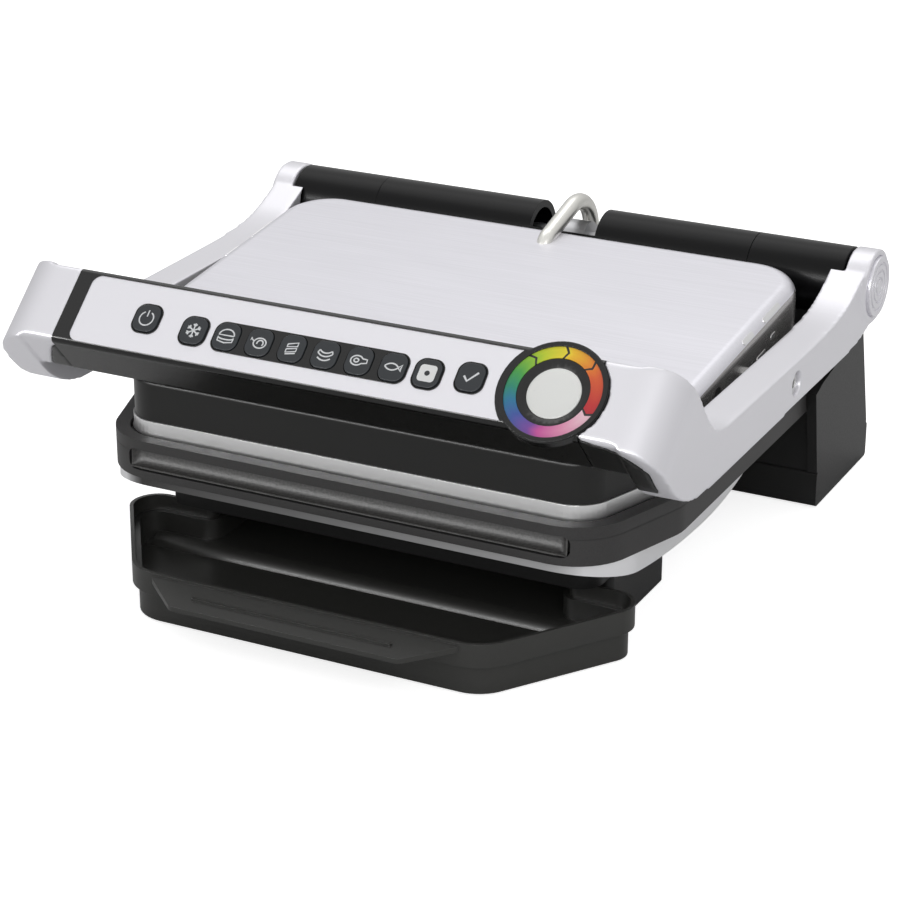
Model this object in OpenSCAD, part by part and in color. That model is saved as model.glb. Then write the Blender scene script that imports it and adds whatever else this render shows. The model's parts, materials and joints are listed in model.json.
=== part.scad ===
// Electric indoor grill with a hinged lid, a float-mounted upper plate and a pull-out drip tray.
// X is to the right seen from the front, Y to the back, Z up. Z = 0 is the table. Millimetres.

/* [Overall] */
// Width over the two hinge hubs
overall_w = 360; // [352:1:368]
// Height of the hinge axis above the table
hinge_z = 123.5; // [121:0.5:126]
// Distance of the hinge axis behind the origin
hinge_y = 129.5; // [128:0.5:131]

/* [Hinge] */
// Radius of the black hinge barrel
barrel_r = 19; // [17:0.5:19.5]
// Half length of the barrel's middle piece
barrel_middle_x = 111.4; // [90:0.2:125]
// Centre of the barrel's notch, where the conduit passes
notch_x = 4; // [0:0.5:8]
// Width of the notch
notch_w = 39; // [34:0.5:44]
// Radius of the hinge shaft
shaft_r = 6; // [5:0.25:7]
// Radial running clearance of shafts and pins in their bushes
running_gap = 0.05; // [0.03:0.01:0.08]
// Radius of the silver hubs
hub_r = 19.5; // [19.5:0.1:21]
// Thickness of the hubs outside the barrel
hub_w = 15; // [13:0.5:17]
// Radius of the hub caps
hub_cap_r = 16; // [14:0.5:17]

/* [Arms] */
// Thickness of the arms, across the object
arm_t = 19; // [17:0.5:20]
// Height of the arms' top edge
arm_top_z = 120.5; // [118:0.5:122]
// Height of the arms' bottom edge
arm_bottom_z = 98; // [96:0.5:100]
// Radius of the front corners, from the panel down to the arm's side
corner_r = 26; // [18:1:30]
// Distance of the float pivots behind the origin
pivot_y = 14.5; // [10:0.5:20]
// Height of the float pivots
pivot_z = 108.5; // [107.5:0.5:110]
// Radius of the float pivot pins
pivot_r = 4; // [3:0.25:5]

/* [Handle bar] */
// Lean of the control panel from level
panel_tilt = 41.5; // [39:0.5:44]
// Width of the panel up its slope
panel_l = 41.4; // [40:0.2:43]
// Distance of the panel's front lip from the origin, towards the front
panel_front = 166.6; // [165:0.2:168]
// Height of the panel's front lip
panel_z = 139; // [137:0.5:141]
// Thickness of the handle bar, square to the panel
bar_t = 30; // [27:0.5:31]
// Half length of the black bar between the silver corners
bar_x = 139; // [137:0.5:140]
// Wall of the bar's housing
bar_wall = 2.4; // [2:0.1:3]
// Thickness of the black bezel
bezel_t = 4; // [3.5:0.1:4.5]
// Thickness of the silver facia
facia_t = 1.2; // [0.8:0.1:1.4]

/* [Keys] */
// Spacing of the row of keys
key_pitch = 17.7; // [17:0.1:18.2]
// Width of a key
key_w = 13.2; // [12:0.1:13.8]
// Length of a key up the slope
key_l = 14.4; // [13:0.1:15]
// Travel of a key
key_travel = 0.8; // [0.5:0.1:1]
// Gap round a key in its surround
key_gap = 0.35; // [0.3:0.05:0.5]
// Number of programme keys in the dark strip
program_count = 6; // [6]

/* [Indicator] */
// Place of the indicator along the bar
dial_x = 120.5; // [119:0.5:121]
// How far the indicator's centre lies below the middle of the panel
dial_drop = 0.2; // [0:0.1:0.8]
// Outer radius of the black surround
dial_r = 25.4; // [25:0.1:26]
// Outer radius of the coloured ring
ring_r = 23.1; // [22:0.1:23.6]
// Inner radius of the coloured ring
ring_bore_r = 17.3; // [16.5:0.1:18]
// Radius of the light lens
lens_r = 12.9; // [11:0.1:14]

/* [Upper housing] */
// Gap between an arm's liner and the top cover
cover_gap = 5.2; // [4.6:0.1:7]
// Distance of the cover's back wall behind the origin
cover_back = 104.5; // [103:0.5:105.5]
// Height of the cover's top at its back edge
cover_z = 137.6; // [136:0.2:139]
// Fall of the cover's top towards the front
cover_tilt = 5.6; // [5:0.2:6.2]
// Distance of the cover's front edge from the origin, towards the front
cover_front = 108; // [106:0.5:110]
// Height of the cover's lower edge
cover_low_z = 100; // [99:0.5:102]
// Sheet thickness of the cover
sheet_t = 1.2; // [0.8:0.1:1.6]
// How far the skirt lies in from the cover's side
skirt_in = 3.8; // [3.4:0.1:5]
// How much narrower the skirt gets at the front, on each side
skirt_taper = 16; // [14:0.5:18]
// Distance of the skirt's front face from the origin, towards the front
skirt_front = 122.5; // [121:0.5:124]
// Height of the skirt's front shoulder
skirt_top_z = 107; // [105:0.5:108]
// Gap between the rim's lip and the trim band when the grill is closed
trim_gap = 0.4; // [0.3:0.05:0.8]
// Height of the trim band
trim_h = 6.6; // [6:0.1:8]
// Wall of the plastic shells
shell_wall = 3; // [2.5:0.1:3.5]

/* [Base] */
// How far the rim stands out past the skirt
rim_out = 6; // [5.6:0.1:6.4]
// How much narrower the rim gets at the front, on each side
rim_taper = 11; // [9:0.5:13]
// Distance of the rim's front face from the origin, towards the front
rim_front = 132.5; // [131.5:0.5:134]
// Height of the rim's lip
rim_top_z = 78; // [77.5:0.25:79]
// Height of the rim's lower edge
rim_low_z = 58; // [57:0.5:59]
// Lowest height of the silver shell's belly
belly_z = 38.5; // [37:0.5:40]
// Distance from the origin to the belly's lowest point, towards the front
belly_front = 10; // [5:1:15]
// Distance from the recess in the rim's front to the rim's corner
recess_side = 21; // [19:0.5:35]
// Height of that recess
recess_h = 11; // [9:0.5:12]
// Half width of the black pedestal
pedestal_x = 120; // [118:0.5:122]
// Distance of the pedestal's front from the origin, towards the front
pedestal_front = 100; // [96:1:102]
// Distance of the pedestal's back from the origin, towards the front
pedestal_back = 8.5; // [6:0.5:14]

/* [Rear block] */
// How far the rear block stands out past the rim
block_out = 5.7; // [5:0.1:6]
// Distance of the block's front face behind the origin
block_front = 109; // [108:0.25:110]
// Distance of the block's back foot behind the origin
block_back = 190.5; // [189:0.5:192]
// Height of the seam above the foot cover
seam_z = 21; // [19:0.5:23]
// Height of the rubber feet under the housings
foot_gap = 1; // [0.8:0.1:1.5]

/* [Plates] */
// Number of ribs on a plate
rib_count = 17; // [13:1:19]
// Spacing of the ribs
rib_pitch = 13; // [12:0.25:13.5]
// Height of the ribs
rib_h = 3.6; // [3:0.1:4]
// Thickness of a plate between its ribs
plate_t = 5; // [4.5:0.1:5.5]

/* [Drip tray] */
// Half width of the straight part of the tray's front edge
tray_front_x = 82.5; // [78:0.5:85]
// Half width of the tray at its side corners
tray_x = 140.5; // [137:0.5:142]
// Distance of the tray's front wall from the origin, towards the front
tray_front = 171; // [169.5:0.5:172]
// Height of the tray's rim
tray_h = 28; // [26:0.5:29]
// Radius of the tray's front corners
tray_nose_r = 24; // [18:1:28]
// Radius of the tray's side corners
tray_wing_r = 14; // [8:1:16]
// Wall of the tray
tray_wall = 2; // [1.6:0.1:2.4]
// How far the tray steps in below its upper tier
tray_tier = 3; // [2:0.25:3.5]
// Half width of the tray's inner bay under the base
bay_x = 102; // [98:0.5:104]
// Reach of the tray's handle lip in front of its wall
lip_reach = 19.5; // [17:0.5:21]

/* [Hidden] */
$fn = 48;
eps = 0.01;
side_gap = 0.5;
hub_x = overall_w / 2;
hub_in_x = hub_x - hub_w;
barrel_x = hub_in_x - side_gap;
arm_out_x = hub_x - 3;
arm_in_x = arm_out_x - arm_t;
liner_t = 2;
cover_x = arm_in_x - liner_t - cover_gap;
skirt_x = cover_x - skirt_in;
skirt_front_x = skirt_x - skirt_taper;
rim_x = skirt_x + rim_out;
rim_front_x = rim_x - rim_taper;
recess_x = rim_front_x - recess_side;
block_x = rim_x + block_out;
trim_z = rim_top_z + trim_gap;
dial_t = panel_l / 2 - dial_drop;
slope_run = panel_l * cos(panel_tilt);
slope_rise = panel_l * sin(panel_tilt);
key_t = panel_l / 2 - 2.7;
end_key_t = panel_l / 2 - 0.7;
frozen_x = -65.6;
program_x0 = frozen_x + key_pitch + 0.4;
manual_x = program_x0 + program_count * key_pitch;
power_x = -92.6;
ok_x = 79.8;
facia_left = -130.5;

// ---- helpers ----

// A profile drawn as (Y, Z) and extruded along X
module across(x0, x1) {
    translate([x0, 0, 0]) rotate([90, 0, 90]) linear_extrude(x1 - x0) children();
}

// The same piece on the right and on the left
module both_sides() {
    children();
    mirror([1, 0, 0]) children();
}

// Local X along the bar, Y up the slope of the panel, Z out of it
module on_panel() {
    translate([0, -panel_front, panel_z]) rotate([panel_tilt, 0, 0]) children();
}

// A plate on the panel between two depths
module panel_plate(z0, z1) {
    on_panel() translate([0, 0, z0]) linear_extrude(z1 - z0) children();
}

module at_hinge() {
    translate([0, hinge_y, hinge_z]) children();
}

// A cylinder along X
module rod(x0, x1, r) {
    translate([x0, 0, 0]) rotate([0, 90, 0]) cylinder(h = x1 - x0, r = r);
}

// A rectangle with round corners about its centre
module pad(w, l, r) {
    offset(r) square([w - 2 * r, l - 2 * r], center = true);
}

// Round the outer corners of an outline
module soften(r) {
    offset(r) offset(delta = -r) children();
}

// Round the inner corners of an outline
module fill_corners(r) {
    offset(-r) offset(delta = r) children();
}

// ---- outlines ----

skirt_corner = 20;
skirt_back_corner = 26;
skirt_back = cover_back - 4;
flare_y = -35;

module skirt_plan(grow = 0) {
    offset(grow) hull() for (s = [-1, 1]) {
        translate([s * (skirt_front_x - skirt_corner), skirt_corner - skirt_front]) circle(skirt_corner);
        translate([s * (skirt_x - skirt_corner), flare_y - skirt_corner]) circle(skirt_corner);
        translate([s * (skirt_x - skirt_back_corner), skirt_back - skirt_back_corner]) circle(skirt_back_corner);
    }
}

rim_corner = 32;
rim_gap = 2.8;

module rim_plan() {
    hull() {
        for (s = [-1, 1]) {
            translate([s * (rim_front_x - rim_corner), rim_corner - rim_front]) circle(rim_corner);
            translate([s * (rim_x - rim_corner), flare_y - rim_corner]) circle(rim_corner);
        }
        translate([-rim_x, block_front - rim_corner]) square([2 * rim_x, rim_corner]);
    }
}

shell_inset = 2;
shell_x = rim_front_x;

module shell_plan(grow = 0) {
    offset(grow) hull() {
        for (s = [-1, 1])
            translate([s * (shell_x - rim_corner), rim_corner + shell_inset - rim_front]) circle(rim_corner);
        translate([-shell_x, block_front - rim_corner]) square([2 * shell_x, rim_corner]);
    }
}

belly_front_curve = 0.00103;
belly_back_curve = 0.00247;

// Everything above the belly's curve, up to the rim
module belly_side() {
    polygon(concat(
        [for (y = [-rim_front - 10 : 5 : block_front])
            [y, min(rim_low_z, belly_z + (y < -belly_front ? belly_front_curve : belly_back_curve)
                * pow(y + belly_front, 2))]],
        [[block_front, rim_low_z + eps], [-rim_front - 10, rim_low_z + eps]]));
}

// ---- base ----

plate_seat_z = rim_low_z + 3;
ledge_w = 8;
heater_r = 3.2;
pan_t = 1;
pan_side = 29;
pan_x = skirt_x - pan_side;
pan_front = skirt_front - 14.5;
pan_back = 60;
pan_l = pan_front + pan_back;
pan_corner = 30;
pan_y = (pan_back - pan_front) / 2;
loop_corner = 30;
loop_side = 12;
loop_tail = 8;
loop_x = pan_x - loop_corner - loop_side;
loop_front = loop_corner + loop_side - pan_front;
loop_back = pan_back - loop_corner - loop_tail;
screw_x = pedestal_x - 7.5;
screw_r = 2;
screw_head_r = 3.6;
screw_top_z = 47;
fit_gap = 0.02;

module screw_places() {
    for (s = [-1, 1], y = [-70, -18]) translate([s * screw_x, y, 0]) children();
}

module base_shell() color("silver") {
    difference() {
        intersection() {
            linear_extrude(rim_low_z) shell_plan();
            across(-shell_x, shell_x) belly_side();
        }
        intersection() {
            linear_extrude(rim_low_z + 1) shell_plan(-shell_wall);
            across(-shell_x, shell_x) translate([0, shell_wall]) belly_side();
        }
        screw_places() cylinder(h = rim_low_z, r = screw_r + fit_gap);
    }
}

recess_low_z = rim_low_z + 4;
recess_depth = 20;

module recess_front() {
    translate([0, -rim_front, recess_low_z + recess_h / 2]) rotate([90, 0, 0])
        linear_extrude(2 * recess_depth, center = true) pad(2 * recess_x, recess_h, 4);
}

module base_rim() color([0.16, 0.16, 0.17]) {
    difference() {
        translate([0, 0, rim_low_z]) linear_extrude(rim_top_z - rim_low_z) rim_plan();
        translate([0, 0, plate_seat_z]) linear_extrude(rim_top_z) skirt_plan(rim_gap);
        translate([0, 0, rim_low_z - 1]) linear_extrude(rim_top_z) intersection() {
            skirt_plan(rim_gap - ledge_w);
            translate([-rim_x, -rim_front]) square([2 * rim_x, rim_front + pan_back]);
        }
        recess_front();
        lower_release_hole(key_gap);
    }
}

pedestal_wall = 4;
tray_roof = tray_h + 3;
bay_side = bay_x + 3;
tray_back = 40;
rail_w = bay_side - bay_x + tray_tier - 1;
tray_step_z = 16;

module pedestal() color([0.08, 0.08, 0.09]) {
    wall_front = 80;
    difference() {
        union() {
            translate([0, 0, tray_roof]) linear_extrude(rim_low_z - tray_roof)
                soften(12) translate([-pedestal_x, -pedestal_front])
                    square([2 * pedestal_x, pedestal_front - pedestal_back]);
            translate([0, 0, foot_gap]) linear_extrude(tray_roof - foot_gap)
                soften(6) translate([-pedestal_x, -wall_front])
                    square([2 * pedestal_x, wall_front - pedestal_back]);
        }
        translate([-bay_side, -pedestal_front - 1, -1])
            cube([2 * bay_side, pedestal_front + 1 - tray_back + 1, tray_roof + 1]);
        // light the block behind the bay from below
        translate([-bay_side, -tray_back + 1 + pedestal_wall, -1])
            cube([2 * bay_side, tray_back - 1 - pedestal_back - 2 * pedestal_wall, tray_roof - pedestal_wall]);
        // and the roof from above
        translate([0, 0, tray_roof + pedestal_wall]) linear_extrude(rim_low_z)
            translate([-bay_side, pedestal_wall - pedestal_front])
                square([2 * bay_side, pedestal_front - pedestal_back - 2 * pedestal_wall]);
        across(-rim_x, rim_x) belly_side();
        screw_places() {
            cylinder(h = rim_low_z, r = screw_r + fit_gap);
            cylinder(h = foot_gap + 8, r = screw_head_r + 0.3);
        }
        front_feet_places() cylinder(h = 4, r = 5 + fit_gap);
    }
    // runners for the tray
    both_sides() translate([bay_side - rail_w, -wall_front + 8, tray_step_z - 4])
        cube([rail_w + 1, wall_front - 8 - tray_back, 3.7]);
}

module base_screws() color("gray") {
    screw_places() {
        translate([0, 0, foot_gap + 5]) cylinder(h = 3, r = screw_head_r);
        translate([0, 0, foot_gap + 6]) cylinder(h = screw_top_z - foot_gap - 6, r = screw_r);
    }
}

module front_feet_places() {
    for (s = [-1, 1], y = [-58, -30]) translate([s * screw_x, y, 0]) children();
}

module rear_feet_places() {
    for (s = [-1, 1]) translate([s * (block_x - 22), block_back - 20, 0]) children();
}

module rubber_feet() color([0.12, 0.12, 0.12]) {
    front_feet_places() cylinder(h = 4, r = 5);
    rear_feet_places() cylinder(h = 3, r = 9);
}

// ---- rear block ----

neck_front = 118;
cheek_x = rim_x + 0.4;
block_wall = 3;
foot_top = seam_z;

// Back of the block, from the barrel down to the seam
function block_back_line() = [
    [hinge_y + barrel_r, hinge_z], [block_back - 24.5, hinge_z - 13.5],
    [block_back - 17.5, hinge_z - 40.5], [block_back - 1.7, seam_z + 2], [block_back - 1.6, seam_z]];

module block_side() {
    difference() {
        polygon(concat(
            [[block_front, seam_z], [block_front, rim_top_z], [neck_front - 2, rim_top_z + 7],
             [neck_front, hinge_z - barrel_r + 4], [hinge_y, hinge_z]],
            block_back_line()));
        translate([hinge_y, hinge_z]) circle(barrel_r);
    }
}

module cheek_side() {
    difference() {
        fill_corners(6) polygon(concat(
            [[block_front - 1.3, seam_z], [cover_back - 5, 69], [block_front + 0.8, 72.5], [127, 75.3],
             [131.8, 81], [131.8, hinge_z]],
            block_back_line()));
        translate([hinge_y, hinge_z]) circle(barrel_r);
    }
}

// Room for the conduit and its clamp, with the barrel's front left standing
module notch_room() {
    at_hinge() intersection() {
        rotate([90, 0, 90]) linear_extrude(notch_w, center = true) difference() {
            circle(barrel_r + 12);
            polygon([[0, 0], 60 * [cos(150), sin(150)], [-80, 0], 60 * [cos(208), sin(208)]]);
        }
        rotate([90, 0, 0]) linear_extrude(120, center = true) pad(notch_w, 2 * (barrel_r + 12), 8);
    }
}

module rear_housing() color([0.07, 0.07, 0.08]) {
    difference() {
        union() {
            across(-cheek_x, cheek_x) block_side();
            both_sides() across(cheek_x - eps, block_x) cheek_side();
        }
        difference() {
            across(block_wall - cheek_x, cheek_x - block_wall) offset(delta = -block_wall) block_side();
            translate([notch_x, 0, 0]) at_hinge() rotate([0, 90, 0])
                cylinder(h = notch_w + 2 * block_wall, r = barrel_r + 12 + block_wall, center = true);
        }
        across(block_wall - cheek_x, cheek_x - block_wall)
            translate([block_front + block_wall, seam_z - 1]) square([block_back - block_front - 10, block_wall + 2]);
        translate([notch_x, 0, 0]) notch_room();
    }
}

module rear_foot() color([0.07, 0.07, 0.08]) {
    foot_d = block_back - block_front + 1;
    difference() {
        across(-block_x, block_x) soften(2) translate([block_front - 1, foot_gap])
            square([foot_d, seam_z - foot_gap]);
        translate([0, block_front - 1 + foot_d / 2, foot_gap + block_wall]) linear_extrude(seam_z)
            pad(2 * (block_x - block_wall - 2), foot_d - 2 * block_wall - 2, 3);
        rear_feet_places() cylinder(h = 3, r = 9 + fit_gap);
        translate([gland_x, 0, gland_z]) rotate([-90, 0, 0]) cylinder(h = 300, r = gland_r + fit_gap);
    }
    for (x = [-50, 50], y = [block_front + 16, block_front + 56]) translate([x, y, foot_gap + block_wall - eps])
        cylinder(h = board_z - foot_gap - block_wall + eps, r = 3);
}

gland_side = 48.7;
gland_x = gland_side - block_x;
gland_z = 12;
gland_r = 5.5;
board_z = 17;
board_w = 120;
board_l = 54;
relay_w = 34;
relay_l = 30;

module cord_gland() color([0.1, 0.1, 0.1]) {
    translate([gland_x, 0, gland_z]) rotate([-90, 0, 0]) difference() {
        union() {
            translate([0, 0, block_back - block_wall - 4]) cylinder(h = block_wall + 3.8, r = gland_r);
            translate([0, 0, block_back - block_wall - 4.5]) cylinder(h = 3, r = gland_r + 2);
        }
        translate([0, 0, block_back - 12]) cylinder(h = 20, r = 3.4);
    }
}

module power_board() color([0.1, 0.35, 0.2]) {
    board_y = block_front + 9;
    translate([-board_w / 2, board_y, board_z]) cube([board_w, board_l, pcb_t]);
    translate([0, board_y, board_z + pcb_t - 0.1]) {
        translate([-50, 6, 0]) cube([relay_w, relay_l, 24]);
        translate([0, 12, 0]) cube([relay_w / 2, relay_l - 8, 16]);
        translate([relay_w, 22, 0]) cylinder(h = 18, r = 7);
    }
}

// ---- hinge ----

barrel_wall = 4;
bush_r = 10;
bush_l = 8;

module barrel_end(side) color([0.07, 0.07, 0.08]) {
    mirror([side < 0 ? 1 : 0, 0, 0]) at_hinge() difference() {
        rod(barrel_middle_x, barrel_x, barrel_r);
        rod(barrel_middle_x - 1, barrel_x - bush_l, barrel_r - barrel_wall);
        rod(barrel_x - bush_l - 1, barrel_x + 1, bush_r);
    }
}

module barrel_middle() color([0.07, 0.07, 0.08]) {
    difference() {
        at_hinge() difference() {
            rod(-barrel_middle_x, barrel_middle_x, barrel_r);
            rod(-barrel_middle_x - 1, barrel_middle_x + 1, barrel_r - barrel_wall);
        }
        translate([notch_x, 0, 0]) notch_room();
    }
}

module hinge_bushes() color("tan") {
    at_hinge() both_sides() difference() {
        rod(barrel_x - bush_l, barrel_x, bush_r);
        rod(barrel_x - bush_l - 1, barrel_x + 1, shaft_r + running_gap);
    }
}

module hinge_shaft() color("gray") {
    at_hinge() rod(4 - hub_x - eps, hub_x - 4, shaft_r);
}

// ---- plates and heating ----

rib_w = 2.6;
plate_rim_z = rim_top_z - 3;
upper_seat_z = trim_z + trim_h;

module ribs(z0, z1) {
    for (i = [0 : rib_count - 1]) translate([(i - (rib_count - 1) / 2) * rib_pitch - rib_w / 2, 20 - skirt_front, z0])
        cube([rib_w, skirt_front + skirt_back - 40, z1 - z0]);
}

module heater_loop(z) {
    r = loop_corner;
    x = loop_x;
    y0 = loop_front;
    y1 = loop_back;
    for (s = [-1, 1]) {
        translate([s * (x + r), y0, z]) rotate([-90, 0, 0]) cylinder(h = y1 - y0, r = heater_r);
        translate([s * x, y0, z]) rotate([0, 0, s > 0 ? -90 : 180]) rotate_extrude(angle = 90)
            translate([r, 0]) circle(heater_r);
        translate([s * x, y1, z]) rotate([0, 0, s > 0 ? 0 : 90]) rotate_extrude(angle = 90)
            translate([r, 0]) circle(heater_r);
    }
    translate([-x, y0 - r, z]) rotate([0, 90, 0]) cylinder(h = 2 * x, r = heater_r);
    for (x0 = [-x, loop_side]) translate([x0, y1 + r, z]) rotate([0, 90, 0]) cylinder(h = x - loop_side, r = heater_r);
}

// A pan that is open towards its plate
module reflector_pan(floor_z, edge_z) {
    low = min(floor_z, edge_z);
    difference() {
        translate([0, 0, low]) linear_extrude(abs(edge_z - floor_z)) pan_plan();
        translate([0, 0, floor_z < edge_z ? floor_z + pan_t : edge_z - 1])
            linear_extrude(abs(edge_z - floor_z) + (floor_z < edge_z ? 0 : 1 - pan_t)) offset(-pan_t) pan_plan();
    }
}

module pan_plan() {
    translate([0, pan_y]) pad(2 * pan_x, pan_l, pan_corner);
}

lower_heater_z = plate_seat_z - heater_r;
upper_heater_z = upper_seat_z + heater_r;

spout_side = 6;
spout_gap = 0.4;

module lower_plate() color([0.15, 0.15, 0.15]) {
    difference() {
        translate([0, 0, plate_seat_z]) linear_extrude(plate_rim_z - plate_seat_z) skirt_plan(rim_gap - 0.6);
        translate([0, 0, plate_seat_z + plate_t]) linear_extrude(20) skirt_plan(rim_gap - 4);
        // the fat leaves through the front wall
        translate([-60, -skirt_front - 8, plate_seat_z + plate_t]) cube([120, 14, 20]);
        lower_release_hole(key_gap);
    }
    ribs(plate_seat_z + plate_t - eps, plate_seat_z + plate_t + rib_h);
    // lip that the fat runs over
    across(spout_side - recess_x, recess_x - spout_side) polygon([
        [-skirt_front, recess_low_z + spout_gap], [-skirt_front, plate_seat_z + plate_t],
        [1 - rim_front, recess_low_z + spout_gap + 0.9], [1 - rim_front, recess_low_z + spout_gap]]);
}

module lower_heater() color("dimgray") heater_loop(lower_heater_z);

module lower_reflector() color("silver") reflector_pan(plate_seat_z - 2 * heater_r - pan_t, plate_seat_z);

module lower_sensor() color("orange") {
    translate([0, 0, plate_seat_z - 2 * heater_r]) cylinder(h = 2 * heater_r, r = 6);
}

module upper_plate() color([0.15, 0.15, 0.15]) {
    translate([0, 0, upper_seat_z - plate_t]) linear_extrude(plate_t) skirt_plan(-shell_wall - 0.6);
    ribs(upper_seat_z - plate_t - rib_h, upper_seat_z - plate_t + eps);
}

module upper_heater() color("dimgray") heater_loop(upper_heater_z);

module upper_reflector() color("silver") reflector_pan(upper_seat_z + 2 * heater_r + pan_t, upper_seat_z);

module upper_sensor() color("orange") {
    translate([0, 0, upper_seat_z]) cylinder(h = 2 * heater_r, r = 6);
}

// ---- plate catches ----

release_travel = 3;
release_out = 2;
release_in = 2.4;

module lower_release_hole(gap) {
    translate([-rim_x - 5, -15 - gap, plate_seat_z + 2 - gap])
        cube([5 + release_in + release_travel + gap, 30 + 2 * gap, 8 + 2 * gap]);
}

module lower_release() color("dimgray") {
    translate([-rim_x - release_out, -15, plate_seat_z + 2]) cube([release_out + release_in, 30, 8]);
}

module upper_release_hole(gap) {
    translate([-skirt_x - 1, -15 - gap - 40, upper_seat_z + 5 - gap]) cube([8, 30 + 2 * gap, 8 + 2 * gap]);
}

module upper_release() color("dimgray") {
    translate([-skirt_x - release_out, -15 - 40, upper_seat_z + 5]) cube([5, 30, 8]);
}

// ---- drip tray ----

tray_wing_back = -85.5;
tray_ledge_z = 20;
tray_deep_back = -99;
tray_bay_z = 9;
lip_x = 85;
lip_front_x = 62;
bead_x = 54;

module tray_plan(grow = 0) {
    offset(grow) fill_corners(4) {
        hull() for (s = [-1, 1]) {
            translate([s * tray_front_x, tray_nose_r - tray_front]) circle(tray_nose_r);
            translate([s * (tray_x - tray_wing_r), tray_wing_back - tray_wing_r]) circle(tray_wing_r);
        }
        soften(4) translate([-bay_x, tray_wing_back - 20]) square([2 * bay_x, -tray_wing_back + 20 - tray_back]);
    }
}

module drip_tray() color([0.09, 0.09, 0.1]) {
    floor_z = foot_gap + 2.5;
    difference() {
        union() {
            translate([0, 0, foot_gap]) linear_extrude(tray_step_z - foot_gap + eps) tray_plan(-tray_tier);
            translate([0, 0, tray_step_z]) linear_extrude(tray_h - tray_step_z) tray_plan();
        }
        // deep at the front, then up a slope to the floor under the base
        intersection() {
            translate([0, 0, floor_z]) linear_extrude(tray_h) tray_plan(-tray_tier - tray_wall);
            across(-tray_x, tray_x) polygon([
                [-tray_front, floor_z - 1], [-tray_front, 2 * tray_h], [0, 2 * tray_h], [0, tray_bay_z],
                [tray_deep_back + 12, tray_bay_z], [tray_deep_back, floor_z], [tray_deep_back, floor_z - 1]]);
        }
        translate([0, 0, tray_ledge_z]) linear_extrude(tray_h) tray_plan(-tray_wall);
    }
    // lip to pull it by
    intersection() {
        across(-tray_x, tray_x) polygon([
            [-tray_front + 1.8, tray_h - 1], [-tray_front - lip_reach, tray_h - 4.5],
            [-tray_front - lip_reach, tray_h - 7], [-tray_front + 1.8, tray_h - 4]]);
        linear_extrude(2 * tray_h) soften(6) polygon([
            [-lip_x - 2, -tray_front + 8], [lip_x + 2, -tray_front + 8], [lip_x, -tray_front],
            [lip_front_x, -tray_front - lip_reach], [-lip_front_x, -tray_front - lip_reach],
            [-lip_x, -tray_front]]);
    }
    translate([-bead_x, -tray_front - 12, tray_h - 5]) cube([2 * bead_x, 2.2, 3]);
}

// ---- arms and handle ----

hub_recess = 2;
grip_depth = 3;
grip_left = -88;
grip_right = 88;

// A line of points with its corners cut into curves, n times over
function curved(p, n) = n == 0 ? p : curved([
    p[0],
    for (i = [0 : len(p) - 2]) each [0.75 * p[i] + 0.25 * p[i + 1], 0.25 * p[i] + 0.75 * p[i + 1]],
    p[len(p) - 1]], n - 1);

// Side view of an arm with its front corner
module arm_side() {
    over = [
        [slope_run - panel_front, panel_z + slope_rise], [-128.5, 163.5], [-116.5, 149], [-104, 132],
        [-92, arm_top_z], [-50, arm_top_z], [40, arm_top_z - 0.5], [84, arm_top_z + 2],
        [108, arm_top_z + 12], [hinge_y, hinge_z + hub_r]];
    under = [
        [hinge_y, hinge_z - hub_r], [115, arm_bottom_z + 2], [96, arm_bottom_z - 0.5], [0, arm_bottom_z - 1],
        [-106, arm_bottom_z - 1.5], [-124.5, arm_bottom_z + 1], [-141, arm_bottom_z + 9.5],
        [-153.5, arm_bottom_z + 24], [-panel_front, panel_z - 1.5]];
    fill_corners(10) soften(1.5)
        polygon(concat([[-panel_front, panel_z]], curved(over, 3), curved(under, 3)));
    translate([hinge_y, hinge_z]) circle(hub_r);
}

// Section of the handle bar, square to it: up the slope and out of the panel
module bar_section(grow = 0) {
    offset(grow) soften(3) difference() {
        union() {
            translate([0, -bar_t]) square([panel_l - 12, bar_t]);
            translate([0, -12]) square([panel_l, 12]);
            translate([panel_l - 14, -14]) circle(14);
            translate([panel_l - 15, 3 - bar_t]) circle(3);
        }
    }
}

module along_bar(x0, x1) {
    on_panel() translate([x0, 0, 0]) rotate([90, 0, 90]) linear_extrude(x1 - x0) children();
}

// Outer corner seen up the slope: flat on the panel, then round down to the arm's side
module corner_section() {
    hull() {
        translate([arm_out_x - corner_r, -corner_r]) circle(corner_r, $fn = 96);
        translate([0, -corner_r]) square([1, corner_r]);
        translate([0, -250]) square([arm_out_x, 1]);
    }
}

// What the dial takes out of the silver corner and the housing under it
module dial_clearing() {
    panel_plate(-bezel_t, 12) translate([dial_x, dial_t]) circle(dial_r + dial_edge);
    panel_plate(-dial_depth - key_gap, 1) translate([dial_x, dial_t]) circle(dial_bore_r + fit_gap);
}

module arm(side) color([0.78, 0.78, 0.82]) {
    mirror([side < 0 ? 1 : 0, 0, 0]) difference() {
        union() {
            intersection() {
                union() {
                    across(arm_in_x, arm_out_x) arm_side();
                    along_bar(bar_x, arm_in_x + eps) bar_section();
                }
                on_panel() rotate([90, 0, 0]) linear_extrude(600, center = true) corner_section();
            }
            at_hinge() rod(barrel_x + 1, arm_out_x + 1.5, hub_r);
        }
        if (side > 0) dial_clearing();
        at_hinge() {
            rod(arm_in_x - 1, barrel_x + 1, barrel_r + 1);
            rod(0, hub_x, shaft_r + fit_gap);
            rod(arm_out_x + 1.5 - hub_recess - 0.5, hub_x, hub_cap_r + fit_gap);
        }
        translate([0, pivot_y, pivot_z]) {
            rod(0, hub_x, pivot_r + fit_gap);
            rod(arm_out_x - 5, hub_x, pivot_head_r + 0.3);
        }
        bar_screw_places() rod(0, bar_x + 12, 1.5 + fit_gap);
    }
}

pivot_head_r = 6;

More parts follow.
